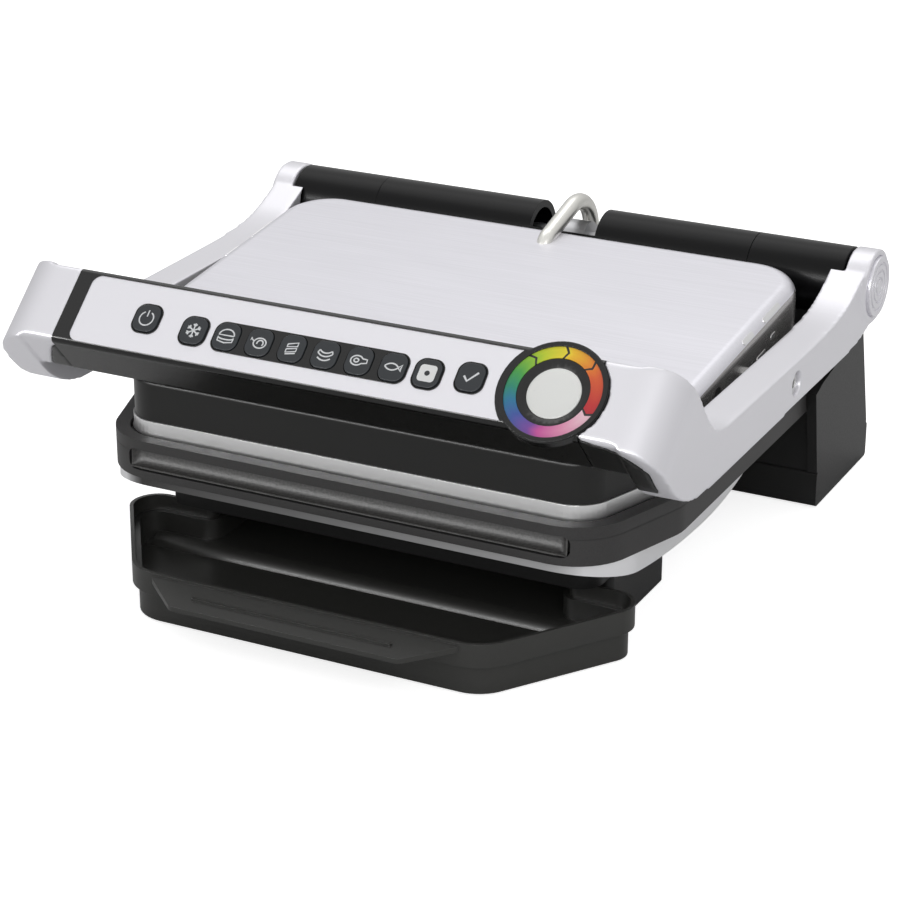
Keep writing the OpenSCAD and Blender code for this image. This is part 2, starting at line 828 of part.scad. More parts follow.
module bar_screw_places() {
    for (p = [[9, -22], [24, -22]]) on_panel() translate([0, p[0], p[1]]) children();
}

bar_screw_head_r = 3;
bar_screw_head_t = 2.5;

module bar_screws() color("gray") {
    both_sides() bar_screw_places() {
        rod(bar_x - bar_wall - bar_screw_head_t, bar_x - bar_wall, bar_screw_head_r);
        rod(bar_x - bar_wall - 0.5, bar_x + 11, 1.5);
    }
}

module arm_liner(side) color([0.1, 0.1, 0.1]) {
    mirror([side < 0 ? 1 : 0, 0, 0]) difference() {
        across(arm_in_x - liner_t, arm_in_x) intersection() {
            offset(-4) arm_side();
            translate([-88, 0]) square([178, 200]);
        }
        translate([0, pivot_y, pivot_z]) rod(0, hub_x, pivot_r + 1);
    }
}

module hub_cap(side) color([0.7, 0.7, 0.74]) {
    x0 = arm_out_x + 1.5 - hub_recess - 0.5;
    mirror([side < 0 ? 1 : 0, 0, 0]) at_hinge() difference() {
        rod(x0, hub_x, hub_cap_r);
        translate([hub_x - 0.8, 0, 0]) rotate([0, 90, 0]) for (r = [5, 9, 13]) difference() {
            cylinder(h = 2, r = r);
            translate([0, 0, -1]) cylinder(h = 4, r = r - 1.2);
        }
    }
}

module pivot_pins() color("silver") {
    both_sides() translate([0, pivot_y, pivot_z]) difference() {
        union() {
            rod(arm_out_x - 5, arm_out_x - 2, pivot_head_r);
            rod(bracket_x + 2, arm_out_x - 4, pivot_r);
        }
        translate([arm_out_x - 3.6, 0, 0]) rotate([90, 0, 90]) cylinder(h = 5, r = 3, $fn = 6);
    }
}

module handle_housing() color([0.06, 0.06, 0.07]) {
    difference() {
        along_bar(-bar_x, bar_x) difference() {
            bar_section();
            translate([-1, -bezel_t]) square([panel_l + 2, bezel_t + 1]);
        }
        along_bar(bar_wall - bar_x, bar_x - bar_wall) intersection() {
            translate([0, grip_depth]) bar_section(-bar_wall);
            translate([-1, -bar_t]) square([panel_l + 2, bar_t - bezel_t - 5]);
        }
        along_bar(bar_wall - bar_x, bar_x - bar_wall)
            translate([bar_wall, -bezel_t - 6]) square([panel_l - 2 * bar_wall, 8]);
        both_sides() bar_screw_places() {
            rod(0, bar_x + 1, 1.5 + fit_gap);
            rod(bar_x - bar_wall - bar_screw_head_t - 1, bar_x - bar_wall, bar_screw_head_r + 0.3);
        }
        dial_clearing();
        // shallow place for the fingers, from below
        on_panel() rotate([90, 0, 0]) linear_extrude(200, center = true) polygon([
            [grip_left - 5, -bar_t - 1], [grip_left + 3, grip_depth - bar_t],
            [grip_right - 8, grip_depth - bar_t], [grip_right + 8, -bar_t - 1]]);
    }
}

facia_sink = 0.3;
surround_margin = 0.9;
surround_r = 5.4;
key_r = 4.8;
flange_w = 1;

function key_places() = concat(
    [[power_x, end_key_t], [frozen_x, key_t]],
    [for (i = [0 : program_count - 1]) [program_x0 + i * key_pitch, key_t]],
    [[manual_x, key_t], [ok_x, end_key_t]]);

module facia_outline(grow = 0) {
    offset(grow) difference() {
        soften(5) translate([facia_left, 2]) square([dial_x - facia_left, panel_l - 5]);
        translate([dial_x, dial_t]) circle(27.2);
    }
}

module surround_outline() {
    for (p = [key_places()[0], key_places()[1], key_places()[program_count + 2], key_places()[program_count + 3]])
        translate(p) pad(key_w + 2 * surround_margin, key_l + 2 * surround_margin, surround_r);
    translate([(key_places()[2][0] + key_places()[program_count + 1][0]) / 2, key_t])
        pad((program_count - 1) * key_pitch + key_w + 2 * surround_margin, key_l + 2 * surround_margin, surround_r);
}

module key_holes(gap) {
    for (p = key_places()) translate(p) pad(key_w + 2 * gap, key_l + 2 * gap, key_r + gap);
}

module bezel_outline() {
    translate([-bar_x, 0]) square([2 * bar_x, panel_l]);
}

module bezel() color([0.05, 0.05, 0.05]) {
    difference() {
        union() {
            along_bar(-bar_x, bar_x) intersection() {
                bar_section();
                translate([-1, -bezel_t]) square([panel_l + 2, bezel_t + 1]);
            }
            panel_plate(-bezel_t, 0) translate([dial_x, dial_t]) circle(dial_r + dial_edge);
        }
        panel_plate(-facia_t - facia_sink, 1) facia_outline();
        panel_plate(-bezel_t - 1, 1) {
            key_holes(key_gap);
            translate([dial_x, dial_t]) circle(dial_bore_r);
        }
        panel_plate(-1, 1) translate([dial_x, dial_t]) circle(dial_r);
    }
}

dial_bore_r = 18.6;
dial_edge = 0.5;
dial_depth = 5.5;

module facia() color([0.8, 0.8, 0.84]) {
    panel_plate(-facia_t - facia_sink, -facia_sink) difference() {
        facia_outline();
        surround_outline();
    }
}

module key_surrounds() color([0.12, 0.12, 0.13]) {
    panel_plate(-facia_t - facia_sink, 0.1) difference() {
        surround_outline();
        key_holes(key_gap);
    }
}

flange_z = -bezel_t - 0.3;
flange_t = 0.8;
key_top = 0.7;

module key_cap(n, c = [0.8, 0.8, 0.84]) color(c) {
    translate_key(n) {
        translate([0, 0, flange_z - eps]) linear_extrude(key_top - flange_z + eps) pad(key_w, key_l, key_r);
        translate([0, 0, flange_z - flange_t]) linear_extrude(flange_t)
            pad(key_w + 2 * flange_w, key_l + 2 * flange_w, key_r + flange_w);
    }
}

module translate_key(n) {
    on_panel() translate([key_places()[n][0], key_places()[n][1], 0]) children();
}

mat_top = flange_z - flange_t - key_travel - 0.3;
mat_t = 1.3;
pcb_t = 1.6;

module key_mat() color([0.3, 0.3, 0.32]) {
    panel_plate(mat_top - mat_t, mat_top)
        translate([(power_x + ok_x) / 2, key_t + 1]) pad(ok_x - power_x + key_w + 6, key_l + 6, 3);
}

module control_board() color([0.1, 0.35, 0.2]) {
    panel_plate(mat_top - mat_t - pcb_t, mat_top - mat_t) difference() {
        translate([0, panel_l / 2]) pad(2 * (bar_x - bar_wall - 1), panel_l - 2 * bar_wall - 4, 1);
    }
    panel_plate(mat_top - mat_t - pcb_t - 4, mat_top - mat_t - pcb_t + eps)
        for (x = [-60, 0, 60]) translate([x, 20]) square([14, 10], center = true);
}

module dial_surround() color([0.05, 0.05, 0.05]) {
    on_panel() translate([dial_x, dial_t, 0]) rotate_extrude($fn = 96) polygon([
        [lens_r, -dial_depth], [lens_r, -1.6], [ring_bore_r - 0.8, -0.2], [ring_bore_r, -0.2], [ring_bore_r, -0.7],
        [ring_r, -0.7], [ring_r, 0.6], [dial_r, 0.6], [dial_r, -1], [dial_bore_r, -1], [dial_bore_r, -dial_depth]]);
}

module dial_ring() color([0.9, 0.6, 0.1]) {
    panel_plate(-0.7, 0) translate([dial_x, dial_t]) difference() {
        circle(ring_r);
        circle(ring_bore_r);
    }
}

module light_lens() color([0.95, 0.95, 0.95]) {
    on_panel() translate([dial_x, dial_t, 0]) {
        translate([0, 0, -dial_depth]) cylinder(h = dial_depth - 1.2, r = lens_r);
        translate([0, 0, mat_top - mat_t]) cylinder(h = 0.1 - dial_depth - mat_top + mat_t, r = 9);
    }
}

// ---- conduit ----

conduit_r = 4.5;
conduit_x = 6.5;
bend_r = 22;
bend_c = [hinge_y - 4.5, hinge_z + 0.5];
bend_a = 105;
elbow_r = 9;
run_l = 30;
end_a = -20;

module conduit_ring() {
    difference() {
        circle(conduit_r, $fn = 28);
        circle(conduit_r - 1, $fn = 28);
    }
}

// A bend in the plane across the hinge
module bend(c, r, a0, a1) {
    translate([conduit_x, c[0], c[1]]) rotate([90, 0, 90]) rotate([0, 0, a0])
        rotate_extrude(angle = a1 - a0, $fn = 56) translate([r, 0]) conduit_ring();
}

module conduit() color([0.85, 0.85, 0.85]) {
    run = [cos(bend_a - 90), sin(bend_a - 90)];
    top = bend_c + bend_r * [cos(bend_a), sin(bend_a)];
    start = top - run_l * run;
    bend(bend_c, bend_r, end_a, bend_a);
    translate([conduit_x, start[0], start[1]]) rotate([bend_a - 90, 0, 0]) rotate([-90, 0, 0])
        translate([0, 0, -eps]) linear_extrude(run_l + 2 * eps) conduit_ring();
    bend(start + elbow_r * [run[1], -run[0]], elbow_r, bend_a, 180);
}

module conduit_clamp() color("gray") {
    tip = bend_c + bend_r * [cos(end_a + 12), sin(end_a + 12)];
    difference() {
        union() {
            at_hinge() rod(conduit_x - 7, conduit_x + 7, 11);
            across(conduit_x - 6, conduit_x + 6) hull() {
                translate([hinge_y, hinge_z]) circle(9);
                translate(tip) circle(conduit_r + 1.8);
            }
        }
        at_hinge() rod(conduit_x - 8, conduit_x + 8, shaft_r + fit_gap);
        conduit_solid();
    }
}

// The last stretch of the conduit, as a solid
module conduit_solid() {
    translate([conduit_x, bend_c[0], bend_c[1]]) rotate([90, 0, 90]) rotate([0, 0, end_a])
        rotate_extrude(angle = 60, $fn = 64) translate([bend_r, 0]) circle(conduit_r + fit_gap);
}

// ---- upper housing ----

cover_corner = 28;
cover_edge = 8;
bracket_x = cover_x - 14.8;
bracket_l = 22;

module cover_solid(inset = 0) {
    intersection() {
        linear_extrude(200) offset(-inset) hull() {
            for (s = [-1, 1]) translate([s * (cover_x - cover_corner), cover_back - cover_corner]) circle(cover_corner);
            translate([-cover_x, -cover_front - inset]) square([2 * cover_x, 1]);
        }
        translate([0, cover_back, cover_z]) rotate([cover_tilt, 0, 0]) {
            rotate([90, 0, 0]) linear_extrude(400, center = true) offset(-inset) hull() {
                for (s = [-1, 1]) translate([s * (cover_x - cover_edge), -cover_edge]) circle(cover_edge);
                translate([-cover_x, -90]) square([2 * cover_x, 1]);
            }
        }
        across(-cover_x, cover_x) offset(-inset) soften(cover_edge) polygon([
            [cover_back, -50], [cover_back, cover_z],
            [-cover_front - 40, cover_z - (cover_back + cover_front + 40) * tan(cover_tilt)],
            [-cover_front - 40, -50]]);
    }
}

// Side openings: start and end along Y, start and end up Z
side_slots = [[11.6, 25, 125.2, 128.6], [39, 61.5, 127.6, 131], [46, 53, 116.4, 119], [27, 39.5, 111, 113.6]];

module top_cover() color([0.85, 0.85, 0.88]) {
    difference() {
        cover_solid();
        cover_solid(sheet_t);
        translate([-cover_x - 1, -cover_front - 60, 0]) cube([2 * cover_x + 2, 400, cover_low_z]);
        translate([-cover_x - 1, -cover_front - 60, 0]) cube([2 * cover_x + 2, 60, 300]);
        // where the conduit goes in
        across(conduit_x - conduit_r - 1, conduit_x + conduit_r + 1) polygon([
            [78.5, 118], [98, 118], [cover_back + 2, 126], [cover_back + 2, 160], [78.5, 160]]);
        both_sides() {
            across(cover_x - 4, cover_x + 1) for (s = side_slots)
                translate([(s[0] + s[1]) / 2, (s[2] + s[3]) / 2]) pad(s[1] - s[0], s[3] - s[2], (s[3] - s[2]) / 2.1);
            across(cover_x - 4, cover_x + 1) translate([-26, cover_low_z]) pad(9, 30, 4);
            translate([0, pivot_y, pivot_z]) rod(cover_x - 4, cover_x + 1, pivot_r + 1);
        }
    }
}

module upper_skirt() color([0.08, 0.08, 0.09]) {
    difference() {
        translate([0, 0, upper_seat_z]) linear_extrude(skirt_top_z - upper_seat_z) skirt_plan();
        translate([0, 0, upper_seat_z + shell_wall]) linear_extrude(skirt_top_z - upper_seat_z - 2 * shell_wall)
            skirt_plan(-shell_wall);
        translate([0, 0, upper_seat_z - 1]) linear_extrude(shell_wall + 2) skirt_plan(-shell_wall - ledge_w);
        translate([0, -10, skirt_top_z - shell_wall - 1]) linear_extrude(20) pad(150, 120, 20);
        both_sides() translate([bracket_x, pivot_y - bracket_l / 2, pivot_z - 10])
            cube([20, bracket_l, 30]);
        upper_release_hole(key_gap);
    }
}

module trim_band() color([0.8, 0.8, 0.83]) {
    translate([0, 0, trim_z]) linear_extrude(trim_h) difference() {
        skirt_plan(0.8);
        skirt_plan(-shell_wall);
    }
}

module pivot_brackets() color("gray") {
    both_sides() difference() {
        translate([bracket_x, pivot_y - bracket_l / 2, pivot_z - 10])
            cube([cover_x - sheet_t - bracket_x, bracket_l, 20]);
        translate([0, pivot_y, pivot_z]) rod(0, hub_x, pivot_r + running_gap);
    }
}

// ---- the pieces ----

base_shell();
base_rim();
pedestal();
rear_housing();
rear_foot();
barrel_end(-1);  // barrel_left
barrel_middle();
barrel_end(1);  // barrel_right
hinge_bushes();
lower_plate();
lower_heater();
lower_reflector();
lower_sensor();
power_board();
cord_gland();
rubber_feet();
base_screws();
drip_tray();
lower_release();
upper_release();
arm(-1);  // arm_left
arm(1);  // arm_right
arm_liner(-1);  // arm_liner_left
arm_liner(1);  // arm_liner_right
hub_cap(-1);  // hub_cap_left
hub_cap(1);  // hub_cap_right
hinge_shaft();
pivot_pins();
conduit();
conduit_clamp();
handle_housing();
bar_screws();
bezel();
facia();
key_surrounds();
key_mat();
control_board();
dial_surround();
dial_ring();
light_lens();
key_cap(0);  // key_power
key_cap(1);  // key_frozen
key_cap(2);  // key_program_1
key_cap(3);  // key_program_2
key_cap(4);  // key_program_3
key_cap(5);  // key_program_4
key_cap(6);  // key_program_5
key_cap(7);  // key_program_6
key_cap(8);  // key_manual
key_cap(9);  // key_ok
top_cover();
upper_skirt();
trim_band();
upper_plate();
upper_heater();
upper_reflector();
upper_sensor();
pivot_brackets();
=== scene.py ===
# %% [markdown]
# # An electric indoor grill, dressed over its CAD frame
#
# The grill is built in CAD first: every plate, key and pin is a solid in its
# place. This script loads those solids and gives them what a photograph shows:
# soft edges, brushed and painted metal, textured plastic and light. Everything
# is in metres, +Z up, +X to the right seen from the front, +Y to the back.

# %% Load the frame
import json
from math import cos, pi, radians, sin, tan

import bmesh
import bpy
from mathutils import Matrix, Vector


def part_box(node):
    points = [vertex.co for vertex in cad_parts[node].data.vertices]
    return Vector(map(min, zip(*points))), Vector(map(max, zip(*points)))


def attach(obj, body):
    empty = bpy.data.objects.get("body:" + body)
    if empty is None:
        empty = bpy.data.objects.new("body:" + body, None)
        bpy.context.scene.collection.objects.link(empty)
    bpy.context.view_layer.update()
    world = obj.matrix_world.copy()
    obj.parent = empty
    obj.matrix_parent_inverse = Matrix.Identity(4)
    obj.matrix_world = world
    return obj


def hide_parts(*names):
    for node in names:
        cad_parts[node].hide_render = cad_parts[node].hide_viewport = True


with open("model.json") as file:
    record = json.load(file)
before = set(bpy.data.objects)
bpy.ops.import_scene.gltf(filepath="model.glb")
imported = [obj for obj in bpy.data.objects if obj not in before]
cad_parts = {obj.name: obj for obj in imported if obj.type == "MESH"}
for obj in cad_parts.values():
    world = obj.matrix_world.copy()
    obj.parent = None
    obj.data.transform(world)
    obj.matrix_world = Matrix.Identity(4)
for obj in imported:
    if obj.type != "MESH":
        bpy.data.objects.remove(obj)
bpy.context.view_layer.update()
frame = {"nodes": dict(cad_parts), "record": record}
MM = 0.001

# %% [markdown]
# ## A few small tools
#
# Most pieces below are made the same way: points and faces are put together in
# a bmesh, cut or drawn out, and turned into a mesh. These tools say each of
# those steps once. Lengths given to `prism` and `tube` are in millimetres.

# %% Tools
def mesh_of(bm, name):
    mesh = bpy.data.meshes.new(name)
    bm.to_mesh(mesh)
    bm.free()
    return mesh


def put_in_scene(data, name):
    thing = bpy.data.objects.new(name, data)
    bpy.context.scene.collection.objects.link(thing)
    return thing


def result_of(thing):
    """The mesh that an object's curve or modifiers lead to. The object itself goes."""
    bpy.context.view_layer.update()
    mesh = bpy.data.meshes.new_from_object(thing.evaluated_get(bpy.context.evaluated_depsgraph_get()))
    bpy.data.objects.remove(thing)
    return mesh


def add_mesh(bm, mesh):
    bm.from_mesh(mesh)
    bpy.data.meshes.remove(mesh)


def slice_at(bm, point, normal, **how):
    bmesh.ops.bisect_plane(bm, geom=bm.verts[:] + bm.edges[:] + bm.faces[:], plane_co=point,
                           plane_no=normal, **how)


def draw_out(bm, faces, way):
    far = bmesh.ops.extrude_face_region(bm, geom=faces, use_keep_orig=True)
    bmesh.ops.translate(bm, verts=[v for v in far["geom"] if isinstance(v, bmesh.types.BMVert)], vec=way)
    bmesh.ops.recalc_face_normals(bm, faces=bm.faces)


def prism(outline, way):
    bm = bmesh.new()
    face = bm.faces.new([bm.verts.new([c * MM for c in point]) for point in outline])
    draw_out(bm, [face], [c * MM for c in way])
    return bm


def tube(points, radius, roundness):
    curve = bpy.data.curves.new("tube", "CURVE")
    curve.dimensions = "3D"
    curve.bevel_depth = radius * MM
    curve.bevel_resolution = roundness
    curve.use_fill_caps = True
    line = curve.splines.new("POLY")
    line.points.add(len(points) - 1)
    for point, place in zip(line.points, points):
        point.co = [c * MM for c in place] + [1]
    return result_of(put_in_scene(curve, "tube"))


# %% [markdown]
# ## The camera
#
# The photograph looks down at the grill from its right. The straight edges of
# the bar and the base meet the frame at angles that fit only one view, so the
# camera's turn, tilt and distance were solved from them. A long lens keeps the
# far end of the bar nearly as large as the near end.

# %% Camera
CAMERA_TURN = radians(26.8)
CAMERA_TILT = radians(22.8)
CAMERA_PLACE = Vector((587.0, -1176.4, 597.6)) * MM
LENS_MM = 108.8
SENSOR_MM = 36

camera = put_in_scene(bpy.data.cameras.new("camera"), "camera")
camera.data.lens = LENS_MM
camera.data.sensor_width = SENSOR_MM
camera.location = CAMERA_PLACE
camera.rotation_euler = (pi / 2 - CAMERA_TILT, 0, CAMERA_TURN)
bpy.context.scene.camera = camera

# %% [markdown]
# ## Light
#
# The studio is a white room. The world gives an even, soft fill, and the
# camera sees it pure white. A reflection finds it bright overhead and dimmer
# at the horizon, so that metal has something to show. Two large lamps give the
# direction, one above and behind and one from the front right. A long, narrow
# lamp before the grill lights nothing but reflections: it draws the lines of
# light along every black edge and round.

# %% World and lamps
ROOM_FILL = 0.58
ROOM_HORIZON = -0.1
ROOM_BRIGHT_FROM = 0.75
LAMPS = {  # place, aim and size in metres, and watts
    "top_light": ((-0.3, 0.5, 1.3), (0, 0, 0.1), (1.4, 0.9), 4),
    "front_light": ((1.0, -1.0, 0.9), (0, 0, 0.08), (0.9, 0.9), 4),
    "edge_light": ((-0.3, -1.35, 0.6), (0, 0, 0.05), (2.4, 0.12), 26),
}


def studio_world(fill):
    world = bpy.data.worlds.new("studio")
    bpy.context.scene.world = world
    world.use_nodes = True
    nodes, links = world.node_tree.nodes, world.node_tree.links
    nodes.clear()
    path = nodes.new("ShaderNodeLightPath")
    seen = nodes.new("ShaderNodeMath")
    seen.operation = "MAXIMUM"
    strength = nodes.new("ShaderNodeMapRange")
    strength.inputs["To Min"].default_value = fill
    strength.inputs["To Max"].default_value = 1.0
    background = nodes.new("ShaderNodeBackground")
    background.inputs["Color"].default_value = (1, 1, 1, 1)
    output = nodes.new("ShaderNodeOutputWorld")
    # a reflection finds the room dimmer at the horizon than overhead
    place = nodes.new("ShaderNodeTexCoord")
    height = nodes.new("ShaderNodeSeparateXYZ")
    room = nodes.new("ShaderNodeMapRange")
    room.inputs["From Max"].default_value = ROOM_BRIGHT_FROM
    room.inputs["To Min"].default_value = ROOM_HORIZON
    mirrored = nodes.new("ShaderNodeMath")
    mirrored.operation = "MULTIPLY"
    links.new(place.outputs["Generated"], height.inputs[0])
    links.new(height.outputs["Z"], room.inputs["Value"])
    links.new(room.outputs[0], mirrored.inputs[0])
    links.new(path.outputs["Is Glossy Ray"], mirrored.inputs[1])
    links.new(path.outputs["Is Camera Ray"], seen.inputs[0])
    links.new(mirrored.outputs[0], seen.inputs[1])
    links.new(seen.outputs[0], strength.inputs["Value"])
    links.new(strength.outputs[0], background.inputs["Strength"])
    links.new(background.outputs[0], output.inputs["Surface"])


def softbox(name, place, aim, size, watts):
    lamp = bpy.data.lights.new(name, "AREA")
    lamp.shape = "RECTANGLE"
    lamp.size, lamp.size_y = size
    lamp.energy = watts
    box = put_in_scene(lamp, name)
    box.location = place
    box.rotation_euler = (Vector(aim) - Vector(place)).to_track_quat("-Z", "Y").to_euler()


studio_world(ROOM_FILL)
for name, lamp in LAMPS.items():
    softbox(name, *lamp)
bpy.data.objects["edge_light"].visible_diffuse = False
bpy.context.scene.view_settings.view_transform = "Standard"

# %% [markdown]
# ## The floor
#
# A white sweep under the grill. To the camera it is as white as the room, apart
# from the shadow that the grill leaves on it.

# %% Floor
FLOOR_HALF = 3.0
PAPER_GREY = 0.85
PAPER_GLOW = 0.75


def white_floor():
    bm = bmesh.new()
    bmesh.ops.create_grid(bm, x_segments=1, y_segments=1, size=FLOOR_HALF)
    floor = put_in_scene(mesh_of(bm, "floor"), "floor")
    paper = bpy.data.materials.new("white_paper")
    paper.use_nodes = True
    nodes, links = paper.node_tree.nodes, paper.node_tree.links
    nodes.clear()
    path = nodes.new("ShaderNodeLightPath")
    diffuse = nodes.new("ShaderNodeBsdfDiffuse")
    diffuse.inputs["Color"].default_value = (PAPER_GREY, PAPER_GREY, PAPER_GREY, 1)
    glow = nodes.new("ShaderNodeEmission")
    lift = nodes.new("ShaderNodeMath")
    lift.operation = "MULTIPLY"
    lift.inputs[1].default_value = PAPER_GLOW
    both = nodes.new("ShaderNodeAddShader")
    output = nodes.new("ShaderNodeOutputMaterial")
    links.new(path.outputs["Is Camera Ray"], lift.inputs[0])
    links.new(lift.outputs[0], glow.inputs["Strength"])
    links.new(diffuse.outputs[0], both.inputs[0])
    links.new(glow.outputs[0], both.inputs[1])
    links.new(both.outputs[0], output.inputs["Surface"])
    floor.data.materials.append(paper)


white_floor()

# %% [markdown]
# ## Finishes
#
# Most of the grill is one of three things: satin black plastic, silver paint
# or brushed steel. Each finish below starts from the same recipe, a shader
# with a fine noise that moves its roughness and its bump a little, because no
# moulded or painted face is perfectly even.

# %% Recipe for a finish
def srgb(r, g, b):
    """A colour as a screen shows it, 0 to 255, in the linear values of a shader."""
    return tuple((c / 255 / 12.92) if c <= 10 else ((c / 255 + 0.055) / 1.055) ** 2.4
                 for c in (r, g, b)) + (1,)


def finish(name, color, rough, metal=0.0, grain=900, rough_spread=0.06, bump=0.05,
           bump_mm=0.02, stretch=(1, 1, 1), tint=0.0, specular=0.5):
    material = bpy.data.materials.new(name)
    material.use_nodes = True
    nodes, links = material.node_tree.nodes, material.node_tree.links
    shader = nodes["Principled BSDF"]
    shader.inputs["Base Color"].default_value = color
    shader.inputs["Metallic"].default_value = metal
    shader.inputs["Specular IOR Level"].default_value = specular
    place = nodes.new("ShaderNodeTexCoord")
    turn = nodes.new("ShaderNodeMapping")
    turn.inputs["Scale"].default_value = stretch
    noise = nodes.new("ShaderNodeTexNoise")
    noise.inputs["Scale"].default_value = grain
    noise.inputs["Detail"].default_value = 4
    links.new(place.outputs["Object"], turn.inputs["Vector"])
    links.new(turn.outputs[0], noise.inputs["Vector"])
    spread = nodes.new("ShaderNodeMapRange")
    spread.inputs["To Min"].default_value = max(0.02, rough - rough_spread)
    spread.inputs["To Max"].default_value = rough + rough_spread
    links.new(noise.outputs["Fac"], spread.inputs["Value"])
    links.new(spread.outputs[0], shader.inputs["Roughness"])
    relief = nodes.new("ShaderNodeBump")
    relief.inputs["Strength"].default_value = bump
    relief.inputs["Distance"].default_value = bump_mm * MM
    links.new(noise.outputs["Fac"], relief.inputs["Height"])
    links.new(relief.outputs[0], shader.inputs["Normal"])
    if tint:
        shade = nodes.new("ShaderNodeMix")
        shade.data_type = "RGBA"
        shade.inputs["A"].default_value = tuple(c * (1 - tint) for c in color[:3]) + (1,)
        shade.inputs["B"].default_value = tuple(min(1, c * (1 + tint)) for c in color[:3]) + (1,)
        links.new(noise.outputs["Fac"], shade.inputs["Factor"])
        links.new(shade.outputs["Result"], shader.inputs["Base Color"])
    return material


FINISHES = {
    "silver_shell": finish("silver_shell", srgb(232, 232, 234), 0.32, metal=0.35, bump=0.05),
    "textured_rim": finish("textured_rim", srgb(54, 53, 53), 0.5, grain=1500, tint=0.3,
                           bump=0.4, bump_mm=0.06, specular=0.35),
    "black_plastic": finish("black_plastic", srgb(22, 22, 22), 0.42, bump=0.08, specular=0.3),
    "barrel_black": finish("barrel_black", srgb(10, 10, 11), 0.3, bump=0.05, specular=0.15),
    "bush_plastic": finish("bush_plastic", srgb(200, 190, 165), 0.5),
    "coated_plate": finish("coated_plate", srgb(44, 43, 42), 0.5, grain=800, bump=0.6, tint=0.5,
                           bump_mm=0.06),
    "heater_steel": finish("heater_steel", srgb(92, 88, 84), 0.5, metal=0.9),
    "pan_metal": finish("pan_metal", srgb(205, 206, 208), 0.28, metal=1.0),
    "sensor_brass": finish("sensor_brass", srgb(190, 160, 100), 0.35, metal=1.0),
    "board_green": finish("board_green", srgb(30, 95, 60), 0.35),
    "rubber": finish("rubber", srgb(34, 34, 34), 0.75, bump=0.2, specular=0.3),
    "screw_steel": finish("screw_steel", srgb(170, 170, 172), 0.35, metal=1.0),
    "tray_black": finish("tray_black", srgb(54, 54, 52), 0.34, grain=1500, bump=0.15,
                         bump_mm=0.03, specular=0.4),
    "catch_grey": finish("catch_grey", srgb(80, 80, 82), 0.45),
    "silver_arm": finish("silver_arm", srgb(228, 227, 232), 0.36, metal=0.5, bump=0.04),
    "pin_chrome": finish("pin_chrome", srgb(205, 205, 205), 0.15, metal=1.0),
    "conduit_chrome": finish("conduit_chrome", srgb(218, 217, 212), 0.3, metal=0.9),
    "bar_black": finish("bar_black", srgb(22, 22, 21), 0.3, bump=0.04, specular=0.35),
    "bezel_gloss": finish("bezel_gloss", srgb(20, 20, 20), 0.22, bump=0.03, specular=0.4),
    "facia_brushed": finish("facia_brushed", srgb(230, 229, 234), 0.4, metal=0.5, stretch=(0.02, 1, 1),
                            grain=3000, bump=0.05),
    "ring_colours": finish("ring_colours", srgb(240, 190, 40), 0.35),
    "lens_white": finish("lens_white", srgb(240, 241, 238), 0.3),
    "cover_steel": finish("cover_steel", srgb(222, 221, 227), 0.36, metal=0.8, stretch=(0.012, 1, 1),
                          grain=1500, bump=0.3, tint=0.1),
    "skirt_black": finish("skirt_black", srgb(24, 24, 23), 0.33, bump=0.05, specular=0.35),
    "trim_silver": finish("trim_silver", srgb(226, 226, 226), 0.3, metal=0.85, stretch=(0.01, 1, 1),
                          grain=2500, rough_spread=0.03, bump=0.02),
    "key_slate": finish("key_slate", srgb(40, 44, 48), 0.36, bump=0.04, specular=0.4),
    "polished_side_painted_reflection": finish("polished_side_painted_reflection", srgb(176, 174, 172), 0.25, metal=0.75, stretch=(1, 0.03, 1),
                            grain=2200, bump=0.08),
    "speckled_trough": finish("speckled_trough", srgb(74, 73, 72), 0.42, grain=750, bump=0.9, bump_mm=0.15,
                              tint=0.8),
}
print(len(FINISHES), "finishes")

# %% [markdown]
# ## Painted shade on the shell's front
#
# The silver of the base runs round to the front, under the rim, and there its
# colour is painted darker above the tray: a painted shade and painted reflection
# of the dark tray below, lightening towards the right. Two ramps on the object's
# own axes, one from the side round to the front and one along the front, choose
# between the silver and a dark grey.

# %% Painted shade and reflection on the silver shell's front
# where the painted shade on the front starts and ends, in metres: from the side round to the front, and from
# left to right
PAINTED_SHADE_Y = (-0.1302, -0.1262)
PAINTED_SHADE_X = (-0.12, 0.118)


def ramp_on_axis(nodes, links, axis, start, end):
    place = nodes.new("ShaderNodeTexCoord")
    axes = nodes.new("ShaderNodeSeparateXYZ")
    span = nodes.new("ShaderNodeMapRange")
    span.inputs["From Min"].default_value = start
    span.inputs["From Max"].default_value = end
    links.new(place.outputs["Object"], axes.inputs[0])
    links.new(axes.outputs[axis], span.inputs["Value"])
    return span.outputs[0]


def paint_front_shade(material):
    nodes, links = material.node_tree.nodes, material.node_tree.links
    shader = nodes["Principled BSDF"]
    side = nodes.new("ShaderNodeMix")
    side.data_type = "RGBA"
    front = nodes.new("ShaderNodeMix")
    front.data_type = "RGBA"
    # painted shade and reflection: dark grey at the left of the front and a lighter grey at the right,
    # standing in for the dark tray reflected there
    front.inputs["A"].default_value = srgb(48, 47, 46)
    front.inputs["B"].default_value = srgb(190, 190, 191)
    side.inputs["B"].default_value = shader.inputs["Base Color"].default_value
    links.new(ramp_on_axis(nodes, links, "X", *PAINTED_SHADE_X), front.inputs["Factor"])
    links.new(ramp_on_axis(nodes, links, "Y", *PAINTED_SHADE_Y), side.inputs["Factor"])
    links.new(front.outputs["Result"], side.inputs["A"])
    links.new(side.outputs["Result"], shader.inputs["Base Color"])


paint_front_shade(FINISHES["silver_shell"])

# %% [markdown]
# ## Every solid gets its finish
#
# The record names a material slot for each node, and each slot is one of the
# finishes. So the whole grill is dressed in one loop, hidden pieces as well.

# %% Each CAD node takes its finish
for row in frame["record"]["subparts"]:
    node = frame["nodes"][row["node"]]
    node.data.materials.clear()
    node.data.materials.append(FINISHES[row["material_slot"]])

